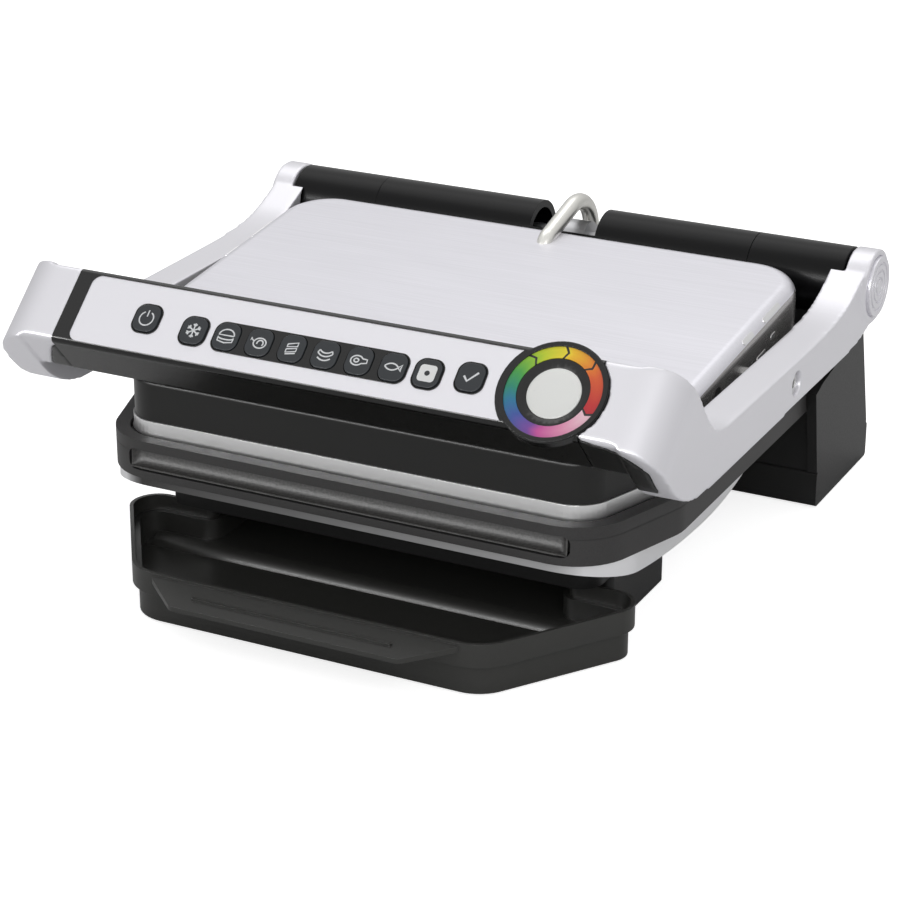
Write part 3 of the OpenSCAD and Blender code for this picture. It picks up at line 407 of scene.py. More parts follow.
# %% [markdown]
# ## Soft edges
#
# No moulded, cast or folded edge is a knife edge: a radius of a millimetre
# catches a thin line of light, and that line is most of what tells plastic from
# a drawing of it. A piece could be modelled again with its rounds. Here a copy
# of the CAD solid is merged instead, its flat triangles are joined into whole
# faces, and a bevel rounds every edge that turns sharply, so the piece keeps
# the solid's exact place and size.

# %% From a solid to a softened piece
BODY_OF = {n: b for b, members in frame["record"]["behaviour"]["bodies"].items() for n in members}
SLOT_OF = {row["node"]: row["material_slot"] for row in frame["record"]["subparts"]}


def merged_copy(node):
    bm = bmesh.new()
    bm.from_mesh(frame["nodes"][node].data)
    bmesh.ops.remove_doubles(bm, verts=bm.verts, dist=0.01 * MM)
    return bm


def solid_copy(node):
    bm = merged_copy(node)
    bmesh.ops.dissolve_limit(bm, angle_limit=radians(0.5), verts=bm.verts[:], edges=bm.edges[:])
    return bm


def turn_of(edge):
    return edge.calc_face_angle(0) if len(edge.link_faces) == 2 else 0


def round_edges(bm, radius, segments=3, sharper_than=32, where=lambda edge: True):
    sharp = [e for e in bm.edges if turn_of(e) > radians(sharper_than) and where(e)]
    bmesh.ops.bevel(bm, geom=sharp, offset=radius * MM, offset_type="OFFSET", affect="EDGES",
                    segments=segments, profile=0.5, material=-1, clamp_overlap=True)


def make_piece(bm, name, body, slot, replaced=(), smooth=38):
    return place_mesh(mesh_of(bm, name), name, body, slot, replaced, smooth)


def place_mesh(mesh, name, body, slot, replaced=(), smooth=38):
    mesh.shade_smooth()
    mesh.set_sharp_from_angle(angle=radians(smooth))
    piece = put_in_scene(mesh, name)
    if not mesh.materials:
        mesh.materials.append(FINISHES[slot])
    # large flat faces keep their own direction, and only the rounds between them are blended
    flat = piece.modifiers.new("flat_faces", "WEIGHTED_NORMAL")
    flat.keep_sharp = True
    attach(piece, body)
    if replaced:
        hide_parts(*replaced)
    return piece


# %% [markdown]
# ## How soft each edge is
#
# Large housings have the softest edges and thin plates the sharpest. The keys
# are alike, so they share one radius.

# %% Edge radius of each moulded piece, in millimetres
KEY_EDGE = 0.55
EDGES = {
    "base_shell": 1.6, "pedestal": 1.2, "rear_housing": 0.8, "rear_foot": 0.8,
    "barrel_left": 0.7, "barrel_middle": 0.7, "barrel_right": 0.7,
    "handle_housing": 1.1, "bezel": 0.9, "facia": 0.2, "key_surrounds": 0.15, "dial_surround": 0.3,
    "hub_cap_left": 0.3, "hub_cap_right": 0.3, "arm_liner_left": 0.4, "arm_liner_right": 0.4,
    "rubber_feet": 0.5, "cord_gland": 0.4, "lower_release": 0.6, "upper_release": 0.6, "conduit_clamp": 0.5,
    "pivot_pins": 0.3, "lower_plate": 0.6, "upper_plate": 0.6,
}
for node in [n for n in BODY_OF if n.startswith("key_") and n not in ("key_surrounds", "key_mat")]:
    EDGES[node] = KEY_EDGE
for node, radius in EDGES.items():
    softened = solid_copy(node)
    round_edges(softened, radius)
    make_piece(softened, node + "_soft", BODY_OF[node], SLOT_OF[node], [node])
print(len(EDGES), "pieces with soft edges")

# %% [markdown]
# ## The base rim
#
# The rim is a black moulding in two halves, and the joint between them is a
# fine groove all round. It is cut here by three planes close together: the
# ring of points on the middle one is pushed in by half a millimetre.

# %% Rim with its parting groove
SEAM_Z = 71.5
SEAM_HALF = 0.35
SEAM_DEPTH = 0.5
RIM_SKIN = 4.5 * MM
RIM_EDGE = 0.9
RIM_MIDDLE = -0.010  # these three in metres
CORNER_FROM = (0.118, -0.095)
HOLLOW_WITHIN = (0.1215, -0.1)


def press_groove(bm, where):
    for z in (SEAM_Z - SEAM_HALF, SEAM_Z, SEAM_Z + SEAM_HALF):
        slice_at(bm, (0, 0, z * MM), (0, 0, 1), dist=1e-7)
    bm.normal_update()
    ring = [v for v in bm.verts if abs(v.co.z - SEAM_Z * MM) < 1e-6 and where(v)]
    pushes = [(v, Vector((v.normal.x, v.normal.y, 0)).normalized() * -SEAM_DEPTH * MM) for v in ring]
    for v, push in pushes:
        v.co += push
    return len(ring)


rim = solid_copy("base_rim")
round_edges(rim, RIM_EDGE)
rim_low, rim_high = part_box("base_rim")


def on_rim_skin(v):
    """True on the outer wall of the rim, apart from the hollow in its front."""
    outward = v.normal.x * v.co.x + v.normal.y * (v.co.y - RIM_MIDDLE) > 0
    near = v.co.x > rim_high.x - RIM_SKIN or v.co.x < rim_low.x + RIM_SKIN or v.co.y < rim_low.y + RIM_SKIN
    corner = abs(v.co.x) > CORNER_FROM[0] and v.co.y < CORNER_FROM[1]
    hollow = abs(v.co.x) < HOLLOW_WITHIN[0] and v.co.y < HOLLOW_WITHIN[1]
    return outward and (near or corner) and not hollow


print(press_groove(rim, on_rim_skin), "points in the groove")
make_piece(rim, "rim_soft", BODY_OF["base_rim"], "textured_rim", ["base_rim"])

# %% [markdown]
# ## The fat trough
#
# Below the plates the front of the base is hollowed out. A trough with a coarse
# non-stick finish lies in the hollow and leads the fat down to the tray. Its
# section is a short curve, drawn as a few points and extruded across the grill.

# %% Fat trough
TROUGH_HALF = 119.6
TROUGH_SECTION = [(-131.4, 62.9), (-129.6, 63.1), (-128.0, 64.0), (-126.8, 65.5), (-126.0, 67.6),
                  (-125.5, 70.2), (-125.3, 72.6)]
TROUGH_END = 5.0
TROUGH_CURL = 0.8
TROUGH_WALL = 0.8


def trough():
    bm = bmesh.new()
    line = [bm.verts.new((-TROUGH_HALF * MM, y * MM, z * MM)) for y, z in TROUGH_SECTION]
    edges = [bm.edges.new(pair) for pair in zip(line, line[1:])]
    across = bmesh.ops.extrude_edge_only(bm, edges=edges)
    moved = [v for v in across["geom"] if isinstance(v, bmesh.types.BMVert)]
    bmesh.ops.translate(bm, verts=moved, vec=(2 * TROUGH_HALF * MM, 0, 0))
    # the ends curl forwards, like the end of a gutter
    for side in (-1, 1):
        for inset in (TROUGH_END, TROUGH_END * 0.5, TROUGH_END * 0.2):
            slice_at(bm, (side * (TROUGH_HALF - inset) * MM, 0, 0), (1, 0, 0), dist=1e-7)
    for v in bm.verts:
        past = (abs(v.co.x) - (TROUGH_HALF - TROUGH_END) * MM) / (TROUGH_END * MM)
        if past > 0:
            front = TROUGH_SECTION[0][0] * MM
            v.co.y += (front - v.co.y) * past ** 2 * TROUGH_CURL
    bmesh.ops.recalc_face_normals(bm, faces=bm.faces)
    bmesh.ops.solidify(bm, geom=bm.faces[:], thickness=TROUGH_WALL * MM)
    bmesh.ops.recalc_face_normals(bm, faces=bm.faces)
    return bm


make_piece(trough(), "fat_trough", BODY_OF["base_rim"], "coated_plate", smooth=60)
bpy.data.objects["fat_trough"].data.materials[0] = FINISHES["speckled_trough"]

# %% [markdown]
# ## The drip tray
#
# The tray's edges are soft like those of any moulding. Its floor climbs to the
# bay that slides under the grill over a broad swell, and that draws a long
# soft line of light through the dark tray. The solid has a plain slope there.
# The swell is a rounded bar laid over it: its section is most of a quarter
# circle, closed behind, and it is drawn out across the tray.

# %% Tray with its swell
SWELL_R = 8.5
SWELL_CREST = (-90.8, 9.05)
SWELL_BACK = -87.0
SWELL_HALF = 131.0
TRAY_EDGE = 0.8


def swell():
    centre = (SWELL_CREST[0], SWELL_CREST[1] - SWELL_R)
    section = [(centre[0] - SWELL_R * cos(radians(a)), centre[1] + SWELL_R * sin(radians(a)))
               for a in range(20, 91, 5)]
    section += [(SWELL_BACK, SWELL_CREST[1]), (SWELL_BACK, SWELL_CREST[1] - 1)]
    return prism([(-SWELL_HALF, y, z) for y, z in section], (2 * SWELL_HALF, 0, 0))


tray = solid_copy("drip_tray")
round_edges(tray, TRAY_EDGE)
make_piece(tray, "tray_soft", BODY_OF["drip_tray"], "tray_black", ["drip_tray"])
make_piece(swell(), "tray_swell", BODY_OF["drip_tray"], "tray_black")

# %% [markdown]
# ## The arms
#
# Each arm is one silver casting: a bar beside the cover, a round hub on the
# hinge, and a front corner that rolls off the control panel and down to the
# side. Its edges are far softer than a moulding's, and they flow into each
# other, which a bevel can't do where several meet. So the solid is remeshed
# in small even squares and relaxed, as a wax model would be, until its edges
# have melted to a radius of about two millimetres. Beside the bar the silver
# ends below in a curve, and the black of the bar takes over. A block with that
# curve on top splits the solid in two before it is melted.

# %% Melted castings
VOXEL = 1.0
ARM_ROUNDS, UNDER_ROUNDS = 5, 6
CORNER_CURVES = {  # across and up, from the bar outwards
    "left": [(128, 135.5), (139.4, 134.6), (142.8, 132.6), (145.4, 129.2), (148.0, 125.2), (152.0, 119.3)],
    "right": [(128, 139.5), (139.4, 138.1), (146.8, 136.5), (152.8, 135.4), (158.7, 132.9), (163.2, 129.4),
              (167, 125), (168.5, 123.5)]}
CORNER_Y = (-176, -140)
CORNER_LOW = 100


def corner_block(side, curve):
    """Everything below the curved lower edge of the silver corner."""
    points = curve + [(curve[-1][0], CORNER_LOW), (curve[0][0], CORNER_LOW)]
    bm = prism([(side * x, CORNER_Y[0], z) for x, z in points], (0, CORNER_Y[1] - CORNER_Y[0], 0))
    return put_in_scene(mesh_of(bm, "corner_block"), "corner_block")


def melt(node, block, operation, rounds):
    wax = put_in_scene(mesh_of(merged_copy(node), node + "_wax"), node + "_wax")
    cut = wax.modifiers.new("cut", "BOOLEAN")
    cut.object = block
    cut.operation = operation
    cut.solver = "EXACT"
    squares = wax.modifiers.new("squares", "REMESH")
    squares.mode = "VOXEL"
    squares.voxel_size = VOXEL * MM
    relax = wax.modifiers.new("relax", "SMOOTH")
    relax.iterations = rounds
    relax.factor = 0.5
    melted = result_of(wax)
    melted.materials.clear()
    return melted


for name, side in (("left", -1), ("right", 1)):
    node = "arm_" + name
    block = corner_block(side, CORNER_CURVES[name])
    arm = melt(node, block, "DIFFERENCE", ARM_ROUNDS)
    place_mesh(arm, node + "_casting", "lid", SLOT_OF[node], [node], smooth=180)
    under = melt(node, block, "INTERSECT", UNDER_ROUNDS)
    place_mesh(under, "corner_under_" + name, "lid", SLOT_OF["handle_housing"], smooth=180)
    bpy.data.objects.remove(block)
    print(node, len(under.polygons), "squares under the corner")

# %% [markdown]
# ## The top cover
#
# The cover is pressed from one sheet of steel. Pressed corners are part of a
# ball where three rounds meet. The block below gets its upright edges rounded
# first and the edge round its top afterwards, which makes those balls by
# itself. Then it is sheared to the cover's fall, cut off below and in front,
# and given the thickness of its sheet. Its upright sides are polished, and their
# colour is darker than the top's: a painted reflection of the dark surroundings.

# %% Pressed cover
COVER_CORNER = 28
COVER_EDGE = 8
COVER_FALL = radians(5.6)
COVER_TOP = 137.6
COVER_LOW = 100
SHEET = 1.2
BLOCK_TALL = 0.09  # these three in metres
BLOCK_SPARE = 0.03
PAINTED_REFLECTION_FROM = 0.14


def pressed_cover():
    low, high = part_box("top_cover")
    bm = bmesh.new()
    bmesh.ops.create_cube(bm, size=1)
    width, length = high.x - low.x, high.y - low.y + BLOCK_SPARE
    top = COVER_TOP * MM
    bmesh.ops.transform(bm, verts=bm.verts, matrix=Matrix.Translation(
        ((low.x + high.x) / 2, high.y - length / 2, top - BLOCK_TALL / 2))
        @ Matrix.Diagonal((width, length, BLOCK_TALL, 1)))
    upright = [e for e in bm.edges if abs((e.verts[0].co - e.verts[1].co).z) > BLOCK_TALL / 2
               and e.verts[0].co.y > 0]
    bmesh.ops.bevel(bm, geom=upright, offset=COVER_CORNER * MM, offset_type="OFFSET", affect="EDGES",
                    segments=14, profile=0.5, material=-1)
    rim = [e for e in bm.edges if all(abs(v.co.z - top) < 1e-6 for v in e.verts)
           and max(v.co.y for v in e.verts) > high.y - length + 1e-4]
    bmesh.ops.bevel(bm, geom=rim, offset=COVER_EDGE * MM, offset_type="OFFSET", affect="EDGES",
                    segments=7, profile=0.5, material=-1)
    for v in bm.verts:
        v.co.z -= (high.y - v.co.y) * tan(COVER_FALL)
    for point, normal in (((0, 0, COVER_LOW * MM), (0, 0, -1)), ((0, low.y, 0), (0, -1, 0))):
        slice_at(bm, point, normal, dist=1e-6, clear_outer=True)
    bmesh.ops.recalc_face_normals(bm, faces=bm.faces)
    bmesh.ops.solidify(bm, geom=bm.faces[:], thickness=SHEET * MM)
    return bm


cover = make_piece(pressed_cover(), "cover_pressed", "upper_housing", "cover_steel", ["top_cover"])
# the upright sides take a darker steel: their polish is real, and the darker colour is a painted reflection
# of the dark surroundings
cover.data.materials.append(FINISHES["polished_side_painted_reflection"])
for face in cover.data.polygons:
    if abs(face.normal.x) > 0.9 and abs(face.center.x) > PAINTED_REFLECTION_FROM:
        face.material_index = 1

# %% [markdown]
# ## Louvres in the cover's sides
#
# The sides of the cover have small bright louvres for the steam, and an upright
# notch that clears the float. A louvre is a bar with round ends that stands a
# little proud: a block whose four short edges are bevelled by nearly half its
# height. It runs along the cover's fall, and the upper ones lean with the round
# that they lie on. The notch is dark all through with the shade inside it, so a
# thin dark plate with round ends, laid on the side, shows it as painted shade.

# %% Louvres and notch
COVER_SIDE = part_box("top_cover")[1].x / MM
COVER_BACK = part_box("top_cover")[1].y / MM
ROUND_LEAN = 40
LOUVRE_TALL, LOUVRE_PROUD, LOUVRE_ROUND = 3.0, 0.3, 0.48
LOUVRE_EDGE = 0.25
PAD_DEPTH = 2.0
LOUVRES_ON_ROUND = [(11.6, 25), (39, 61.5)]
LOUVRES_ON_SIDE = [(46, 53, 117.7), (27, 39.5, 112.3)]
NOTCH_Y, NOTCH_MID_Z = (-30.5, -21.5), 108.1
NOTCH_TALL, NOTCH_PROUD, NOTCH_ROUND = 15.8, 0.15, 0.49


def on_round(y0, y1):
    top = COVER_TOP - (COVER_BACK - (y0 + y1) / 2) * tan(COVER_FALL)
    lean = radians(ROUND_LEAN)
    return COVER_SIDE - COVER_EDGE * (1 - cos(lean)), top - COVER_EDGE * (1 - sin(lean))


def side_pad(side, y0, y1, x, z, tall, proud, roundness, lean=0, rise=0):
    bm = bmesh.new()
    bmesh.ops.create_cube(bm, size=1)
    size = Matrix.Diagonal((PAD_DEPTH * MM, (y1 - y0) * MM, tall * MM, 1))
    bmesh.ops.transform(bm, verts=bm.verts, matrix=size)
    lying = [e for e in bm.edges if abs((e.verts[0].co - e.verts[1].co).x) > PAD_DEPTH / 2 * MM]
    bmesh.ops.bevel(bm, geom=lying, offset=roundness * min(y1 - y0, tall) * MM, offset_type="OFFSET",
                    affect="EDGES", segments=5, profile=0.5, material=-1)
    outward = Matrix.Rotation(rise, 4, "X") @ Matrix.Rotation(-side * radians(lean), 4, "Y")
    bmesh.ops.transform(bm, verts=bm.verts, matrix=Matrix.Translation(
        Vector((side * x, (y0 + y1) / 2, z)) * MM) @ outward @ Matrix.Translation(
        Vector((side * (proud - PAD_DEPTH / 2), 0, 0)) * MM))
    return bm


def louvres(side):
    places = [(y0, y1, *on_round(y0, y1), ROUND_LEAN) for y0, y1 in LOUVRES_ON_ROUND]
    places += [(y0, y1, COVER_SIDE, z, 0) for y0, y1, z in LOUVRES_ON_SIDE]
    joined = bmesh.new()
    for y0, y1, x, z, lean in places:
        pad = side_pad(side, y0, y1, x, z, LOUVRE_TALL, LOUVRE_PROUD, LOUVRE_ROUND, lean, COVER_FALL)
        add_mesh(joined, mesh_of(pad, "pad"))
    round_edges(joined, LOUVRE_EDGE, segments=2)
    return joined


for name, side in (("left", -1), ("right", 1)):
    make_piece(louvres(side), "louvres_" + name, "upper_housing", "trim_silver")
    # a thin black plate over the notch: painted shade of the opening's dark inside
    notch = side_pad(side, *NOTCH_Y, COVER_SIDE, NOTCH_MID_Z, NOTCH_TALL, NOTCH_PROUD, NOTCH_ROUND)
    make_piece(notch, "notch_painted_shade_" + name, "upper_housing", "skirt_black")
print(len(LOUVRES_ON_ROUND) + len(LOUVRES_ON_SIDE), "louvres on each side")

# %% [markdown]
# ## The steel trim
#
# A bright band runs round the foot of the lid. It is a strip of brushed steel
# with a rolled lower edge. The copy of the solid band reaches a little lower,
# and one ring of its points is pushed out, so that the roll catches the light.

# %% Trim band
TRIM_LOW = 76.6
ROLL_TOP = 78.6
ROLL_MIDDLE = ROLL_TOP - 1.0
ROLL_OUT = 0.5
TRIM_EDGE = 0.3
trim = solid_copy("trim_band")
band_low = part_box("trim_band")[0].z
for v in trim.verts:
    if v.co.z < band_low + 1e-5:
        v.co.z = TRIM_LOW * MM
for z in (ROLL_TOP, ROLL_MIDDLE):
    slice_at(trim, (0, 0, z * MM), (0, 0, 1), dist=1e-7)
trim.normal_update()
rolled = [(v, Vector((v.normal.x, v.normal.y, 0)).normalized()) for v in trim.verts
          if abs(v.co.z - ROLL_MIDDLE * MM) < 1e-6 and v.normal.x * v.co.x + v.normal.y * v.co.y > 0]
for v, out in rolled:
    v.co += out * ROLL_OUT * MM
round_edges(trim, TRIM_EDGE, segments=2)
make_piece(trim, "trim_soft", BODY_OF["trim_band"], "trim_silver", ["trim_band"], smooth=30)

# %% [markdown]
# ## The upper skirt
#
# The black skirt under the cover shows only its front: a tall face that turns
# over into a broad soft shoulder, where the light of the studio lies.

# %% Skirt with its shoulder
SHOULDER = 5.0
OPENING_HALF = (0.110, 0.09)  # metres: edges nearer to the middle than this keep sharp
skirt = solid_copy("upper_skirt")
skirt_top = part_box("upper_skirt")[1].z


def on_shoulder(edge):
    at = edge.verts[0].co
    high = all(v.co.z > skirt_top - 1e-5 for v in edge.verts)
    outward = any(abs(f.normal.z) < 0.5 and f.normal.dot(Vector((at.x, at.y, 0))) > 0
                  for f in edge.link_faces)
    return high and outward and max(abs(at.x) / OPENING_HALF[0], abs(at.y) / OPENING_HALF[1]) > 1


round_edges(skirt, SHOULDER, segments=6, where=on_shoulder)
make_piece(skirt, "skirt_soft", "upper_housing", "skirt_black", ["upper_skirt"])

# %% [markdown]
# ## The control panel's own axes
#
# Everything on the panel is easiest to place in the panel's own axes: along the
# bar, up the slope and out of the face. One matrix takes those to the object's
# axes, and every key, symbol and ring below goes through it.

# %% Panel axes
PANEL_TILT = radians(41.5)
PANEL_LIP = Vector((0, -166.6, 139.0)) * MM
PANEL = Matrix.Translation(PANEL_LIP) @ Matrix.Rotation(PANEL_TILT, 4, "X")
DIAL = (120.5, 20.5)
KEY_TOP = 0.7
KEYS = {"key_power": (-92.6, 20), "key_frozen": (-65.6, 18), "key_manual": (58.7, 18), "key_ok": (79.8, 20)}
PROGRAM_FIRST, PROGRAM_STEP = -47.5, 17.7
for i in range(6):
    KEYS["key_program_%d" % (i + 1)] = (PROGRAM_FIRST + PROGRAM_STEP * i, 18)


def on_panel(x, t, out=0.0):
    return PANEL @ Matrix.Translation(Vector((x, t, out)) * MM)


# %% [markdown]
# ## The indicator
#
# A frosted lens lights up inside a ring of colours that runs from cool to warm
# as the food cooks. The ring is printed, so its colours are a material and
# not pieces: an angle round the dial's centre picks the colour from a ramp.
# The angle is pushed ahead the more, the farther a point lies from the middle of
# the band, which bends each black dividing line into an arrow that points the
# way the ring is read.

# %% Ring of colours
RING_STOPS = [  # angle in degrees, clockwise from the left, and colour
    (0, (33, 140, 110)), (22, (70, 165, 70)), (47, (150, 200, 45)), (62, (200, 215, 40)),
    (92, (245, 222, 50)), (100, (246, 196, 40)), (134, (236, 130, 40)), (150, (225, 95, 45)),
    (190, (200, 45, 45)), (203, (190, 35, 50)), (206, (244, 205, 216)), (240, (232, 150, 185)),
    (272, (205, 85, 160)), (286, (120, 70, 160)), (315, (60, 85, 165)), (340, (30, 120, 160)),
    (360, (33, 140, 110))]
RING_LINES = (48, 92, 134, 204)
LINE_WIDTH = 3.4
RING_MIDDLE = 20.2
RING_HALF = 2.9
ARROW = 5.0


def ring_material():
    material = bpy.data.materials.new("ring_print")
    material.use_nodes = True
    nodes, links = material.node_tree.nodes, material.node_tree.links
    shader = nodes["Principled BSDF"]
    shader.inputs["Roughness"].default_value = 0.3
    place = nodes.new("ShaderNodeTexCoord")
    centre = nodes.new("ShaderNodeMapping")
    centre.vector_type = "TEXTURE"
    centre.inputs["Location"].default_value = on_panel(*DIAL).translation
    centre.inputs["Rotation"].default_value = (PANEL_TILT, 0, 0)
    links.new(place.outputs["Object"], centre.inputs["Vector"])

    def calc(operation, *values):
        node = nodes.new("ShaderNodeMath")
        node.operation = operation
        for socket, value in zip(node.inputs, values):
            if isinstance(value, (int, float)):
                socket.default_value = value
            else:
                links.new(value, socket)
        return node.outputs[0]

    axes = nodes.new("ShaderNodeSeparateXYZ")
    links.new(centre.outputs[0], axes.inputs[0])
    across, up = axes.outputs[0], axes.outputs[1]
    reach = calc("SQRT", calc("ADD", calc("MULTIPLY", across, across), calc("MULTIPLY", up, up)))
    off_middle = calc("ABSOLUTE", calc("SUBTRACT", reach, RING_MIDDLE * MM))
    # 0 at the left, growing clockwise, in turns
    turn = calc("DIVIDE", calc("ARCTAN2", up, calc("MULTIPLY", across, -1)), 2 * pi)
    turn = calc("ADD", turn, calc("MULTIPLY", off_middle, ARROW / 360 / (RING_HALF * MM)))
    turn = calc("FRACT", calc("ADD", turn, 1.0))
    ramp = nodes.new("ShaderNodeValToRGB")
    ramp.color_ramp.interpolation = "LINEAR"
    stops = ramp.color_ramp.elements
    while len(stops) > 1:
        stops.remove(stops[-1])
    for i, (degrees, colour) in enumerate(RING_STOPS):
        stop = stops[0] if i == 0 else stops.new(degrees / 360)
        stop.position = degrees / 360
        stop.color = srgb(*colour)
    links.new(turn, ramp.inputs["Fac"])
    line = None
    for degrees in RING_LINES:
        near = calc("LESS_THAN", calc("ABSOLUTE", calc("SUBTRACT", turn, degrees / 360)), LINE_WIDTH / 720)
        line = near if line is None else calc("MAXIMUM", line, near)
    ink = nodes.new("ShaderNodeMix")
    ink.data_type = "RGBA"
    ink.inputs["B"].default_value = srgb(22, 22, 22)
    links.new(line, ink.inputs["Factor"])
    links.new(ramp.outputs["Color"], ink.inputs["A"])
    links.new(ink.outputs["Result"], shader.inputs["Base Color"])
    return material


frame["nodes"]["dial_ring"].data.materials[0] = ring_material()

# %% [markdown]
# ## The lens
#
# The lens is the flat cap of a ball: half a sphere, squashed until it rises
# only a little, with a short wall below it that sinks into the dial.

# %% Frosted lens
LENS_R = 12.85
LENS_RISE = 1.3
LENS_SUNK = 1.5
WALL_IN_RISES = 3.0


def frosted_lens():
    bm = bmesh.new()
    bmesh.ops.create_uvsphere(bm, u_segments=64, v_segments=24, radius=1)
    slice_at(bm, (0, 0, 0), (0, 0, -1), clear_outer=True)
    base = [e for e in bm.edges if e.is_boundary]
    skirt = bmesh.ops.extrude_edge_only(bm, edges=base)
    bottom = [v for v in skirt["geom"] if isinstance(v, bmesh.types.BMVert)]
    bmesh.ops.translate(bm, verts=bottom, vec=(0, 0, -WALL_IN_RISES))
    bmesh.ops.holes_fill(bm, edges=[e for e in bm.edges if e.is_boundary])
    bmesh.ops.transform(bm, verts=bm.verts, matrix=on_panel(*DIAL, -LENS_SUNK)
                        @ Matrix.Diagonal((LENS_R * MM, LENS_R * MM, LENS_RISE * MM, 1)))
    bmesh.ops.recalc_face_normals(bm, faces=bm.faces)
    return bm


make_piece(frosted_lens(), "lens_dome", "lid", "lens_white", ["light_lens"], smooth=50)

# %% [markdown]
# ## Symbols on the keys
#
# Each key carries a plain pictogram, printed in silver. They are drawn here as
# strokes: a round pen is dragged along a few points, and the stroke is pressed
# flat on to the key so that it stands up no more than ink does.

# %% Symbols
PEN = 0.36
TICK_PEN = 0.55
INK_HEIGHT = 0.1
FLAKE_ARM, TWIG_FROM, TWIG, TWIG_TURN = 3.9, 2.3, 1.5, radians(42)


def circle(x, y, r, start=0, end=360, steps=28, squash=1.0):
    return [(x + r * cos(radians(a)), y + squash * r * sin(radians(a)))
            for a in (start + (end - start) * i / steps for i in range(steps + 1))]


def flake():
    arms = []
    for k in range(6):
        a = radians(60 * k + 30)
        arms.append([(0, 0), (FLAKE_ARM * cos(a), FLAKE_ARM * sin(a))])
        for side in (-1, 1):
            b = a + side * TWIG_TURN
            fork = (TWIG_FROM * cos(a), TWIG_FROM * sin(a))
            arms.append([fork, (fork[0] + TWIG * cos(b), fork[1] + TWIG * sin(b))])
    return arms


SYMBOLS = {
    "key_power": [circle(0, -0.2, 3.7, 118, 422), [(0, 4.3), (0, 0.8)]],
    "key_frozen": flake(),
    "key_program_1": [circle(0, 0.6, 4.0, 0, 180, squash=0.8) + [(4.0, 0.6)],
                      circle(0, -0.6, 4.1, 180, 360, squash=0.25),
                      [(-4.1, -0.4), (-4.0, -2.6), (0, -3.4), (4.0, -2.6), (4.1, -0.4)]],
    "key_program_2": [circle(0.6, -0.3, 3.3, squash=0.8), circle(0.8, -0.4, 1.6, -40, 200),
                      [(-2.5, 0.2), (-4.2, 1.4), (-4.6, 0.7), (-4.2, 2.1)]],
    "key_program_3": [[(-2.6, 2.0), (2.6, 3.4), (2.6, 1.4), (-2.6, 0.6), (-2.6, 2.0)],
                      [(-2.6, -0.6), (2.6, 0.4), (2.6, -1.2), (-2.6, -2.4), (-2.6, -0.6)],
                      [(-2.4, -3.3), (2.6, -2.2)]],
    "key_program_4": [circle(0, 4.2, 5.2, 222, 318), circle(0, 5.2, 4.4, 224, 316),
                      circle(0, 1.9, 5.0, 228, 312),
                      [(-3.9, 0.7), (-3.2, 2.2)], [(3.9, 0.7), (3.2, 2.2)]],
    "key_program_5": [circle(-1.0, 0.1, 3.1, 30, 330, squash=0.8), circle(-1.2, 0.1, 1.2, squash=0.8),
                      [(1.7, 1.3), (4.2, 1.2), (4.4, -0.6), (1.6, -1.2)]],
    "key_program_6": [circle(-0.6, -2.6, 4.4, 38, 142), circle(-0.6, 2.8, 4.4, 218, 322),
                      [(2.9, 0.2), (4.6, 1.8), (4.2, 0), (4.6, -1.7), (2.9, 0)]],
    "key_ok": [[(-3.2, 0.2), (-1.0, -2.2), (3.4, 2.8)]],
}


def printed(strokes, place, pen):
    bm = bmesh.new()
    for points in strokes:
        add_mesh(bm, tube([(x, y, 0) for x, y in points], pen, roundness=1))
    bmesh.ops.transform(bm, verts=bm.verts, matrix=place @ Matrix.Diagonal((1, 1, INK_HEIGHT / pen, 1)))
    return bm


FINISHES["ink_silver"] = finish("ink_silver", srgb(222, 224, 226), 0.4)
for key, strokes in SYMBOLS.items():
    symbol = printed(strokes, on_panel(*KEYS[key], KEY_TOP), TICK_PEN if key == "key_ok" else PEN)
    make_piece(symbol, key + "_symbol", key + "_body", "ink_silver")

# %% [markdown]
# ## The white key
#
# One key is marked by a plain white patch with a dot. Both are squares whose
# corners are rounded, the dot's all the way, before they get a little height.

# %% White patch and its dot
PATCH_SIZE, PATCH_ROUND = 8.6, 1.8
DOT_SIZE, DOT_ROUND = 2.6, 1.29


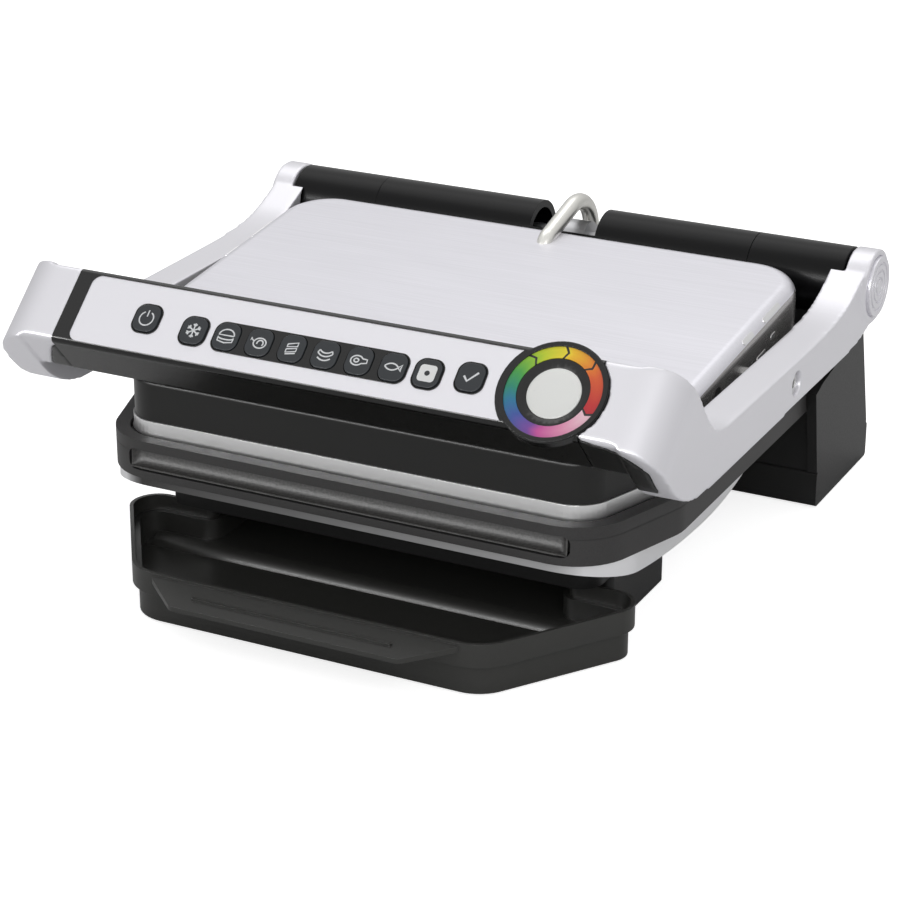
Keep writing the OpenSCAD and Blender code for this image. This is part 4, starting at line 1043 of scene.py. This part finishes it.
def flat_patch(x, t, size, corner, low, high):
    bm = bmesh.new()
    bmesh.ops.create_grid(bm, x_segments=1, y_segments=1, size=size / 2)
    bmesh.ops.bevel(bm, geom=bm.verts[:], offset=corner, offset_type="OFFSET", affect="VERTICES", segments=6,
                    profile=0.5, material=-1)
    draw_out(bm, bm.faces[:], (0, 0, high - low))
    bmesh.ops.transform(bm, verts=bm.verts, matrix=on_panel(x, t, low) @ Matrix.Diagonal((MM, MM, MM, 1)))
    return bm


FINISHES["patch_white"] = finish("patch_white", srgb(235, 236, 236), 0.4)
make_piece(flat_patch(*KEYS["key_manual"], PATCH_SIZE, PATCH_ROUND, KEY_TOP - 0.2, KEY_TOP + 0.1),
           "key_manual_patch", "key_manual_body", "patch_white")
make_piece(flat_patch(*KEYS["key_manual"], DOT_SIZE, DOT_ROUND, KEY_TOP, KEY_TOP + 0.2),
           "key_manual_dot", "key_manual_body", "key_slate")

# %% [markdown]
# ## The conduit
#
# The wires cross from the base to the lid through a satin steel pipe, bent into
# a hook. The CAD solid is drawn with a few flat sides, so a smooth pipe takes
# its place: a path of arcs and a straight run that a round section follows.

# %% Smooth conduit
CONDUIT_X = 6.5
CONDUIT_R = 4.5
BEND_CENTRE = (125.0, 124.0)
BEND_R = 22.0
BEND_FROM, BEND_TO = -20, 105
ELBOW_R = 9.0
RUN = 30.0


def arc_points(centre, r, start, end, steps):
    return [(centre[0] + r * cos(radians(start + (end - start) * i / steps)),
             centre[1] + r * sin(radians(start + (end - start) * i / steps))) for i in range(steps + 1)]


def conduit_path():
    bend = arc_points(BEND_CENTRE, BEND_R, BEND_FROM, BEND_TO, 32)
    along = (cos(radians(BEND_TO - 90)), sin(radians(BEND_TO - 90)))
    start = (bend[-1][0] - RUN * along[0], bend[-1][1] - RUN * along[1])
    turn_about = (start[0] + ELBOW_R * along[1], start[1] - ELBOW_R * along[0])
    return bend + arc_points(turn_about, ELBOW_R, BEND_TO, 180, 16)


smooth_pipe = bmesh.new()
add_mesh(smooth_pipe, tube([(CONDUIT_X, y, z) for y, z in conduit_path()], CONDUIT_R, roundness=10))
bmesh.ops.remove_doubles(smooth_pipe, verts=smooth_pipe.verts, dist=0.001 * MM)
bmesh.ops.recalc_face_normals(smooth_pipe, faces=smooth_pipe.faces)
make_piece(smooth_pipe, "conduit_pipe", BODY_OF["conduit"], "conduit_chrome", ["conduit"], smooth=60)
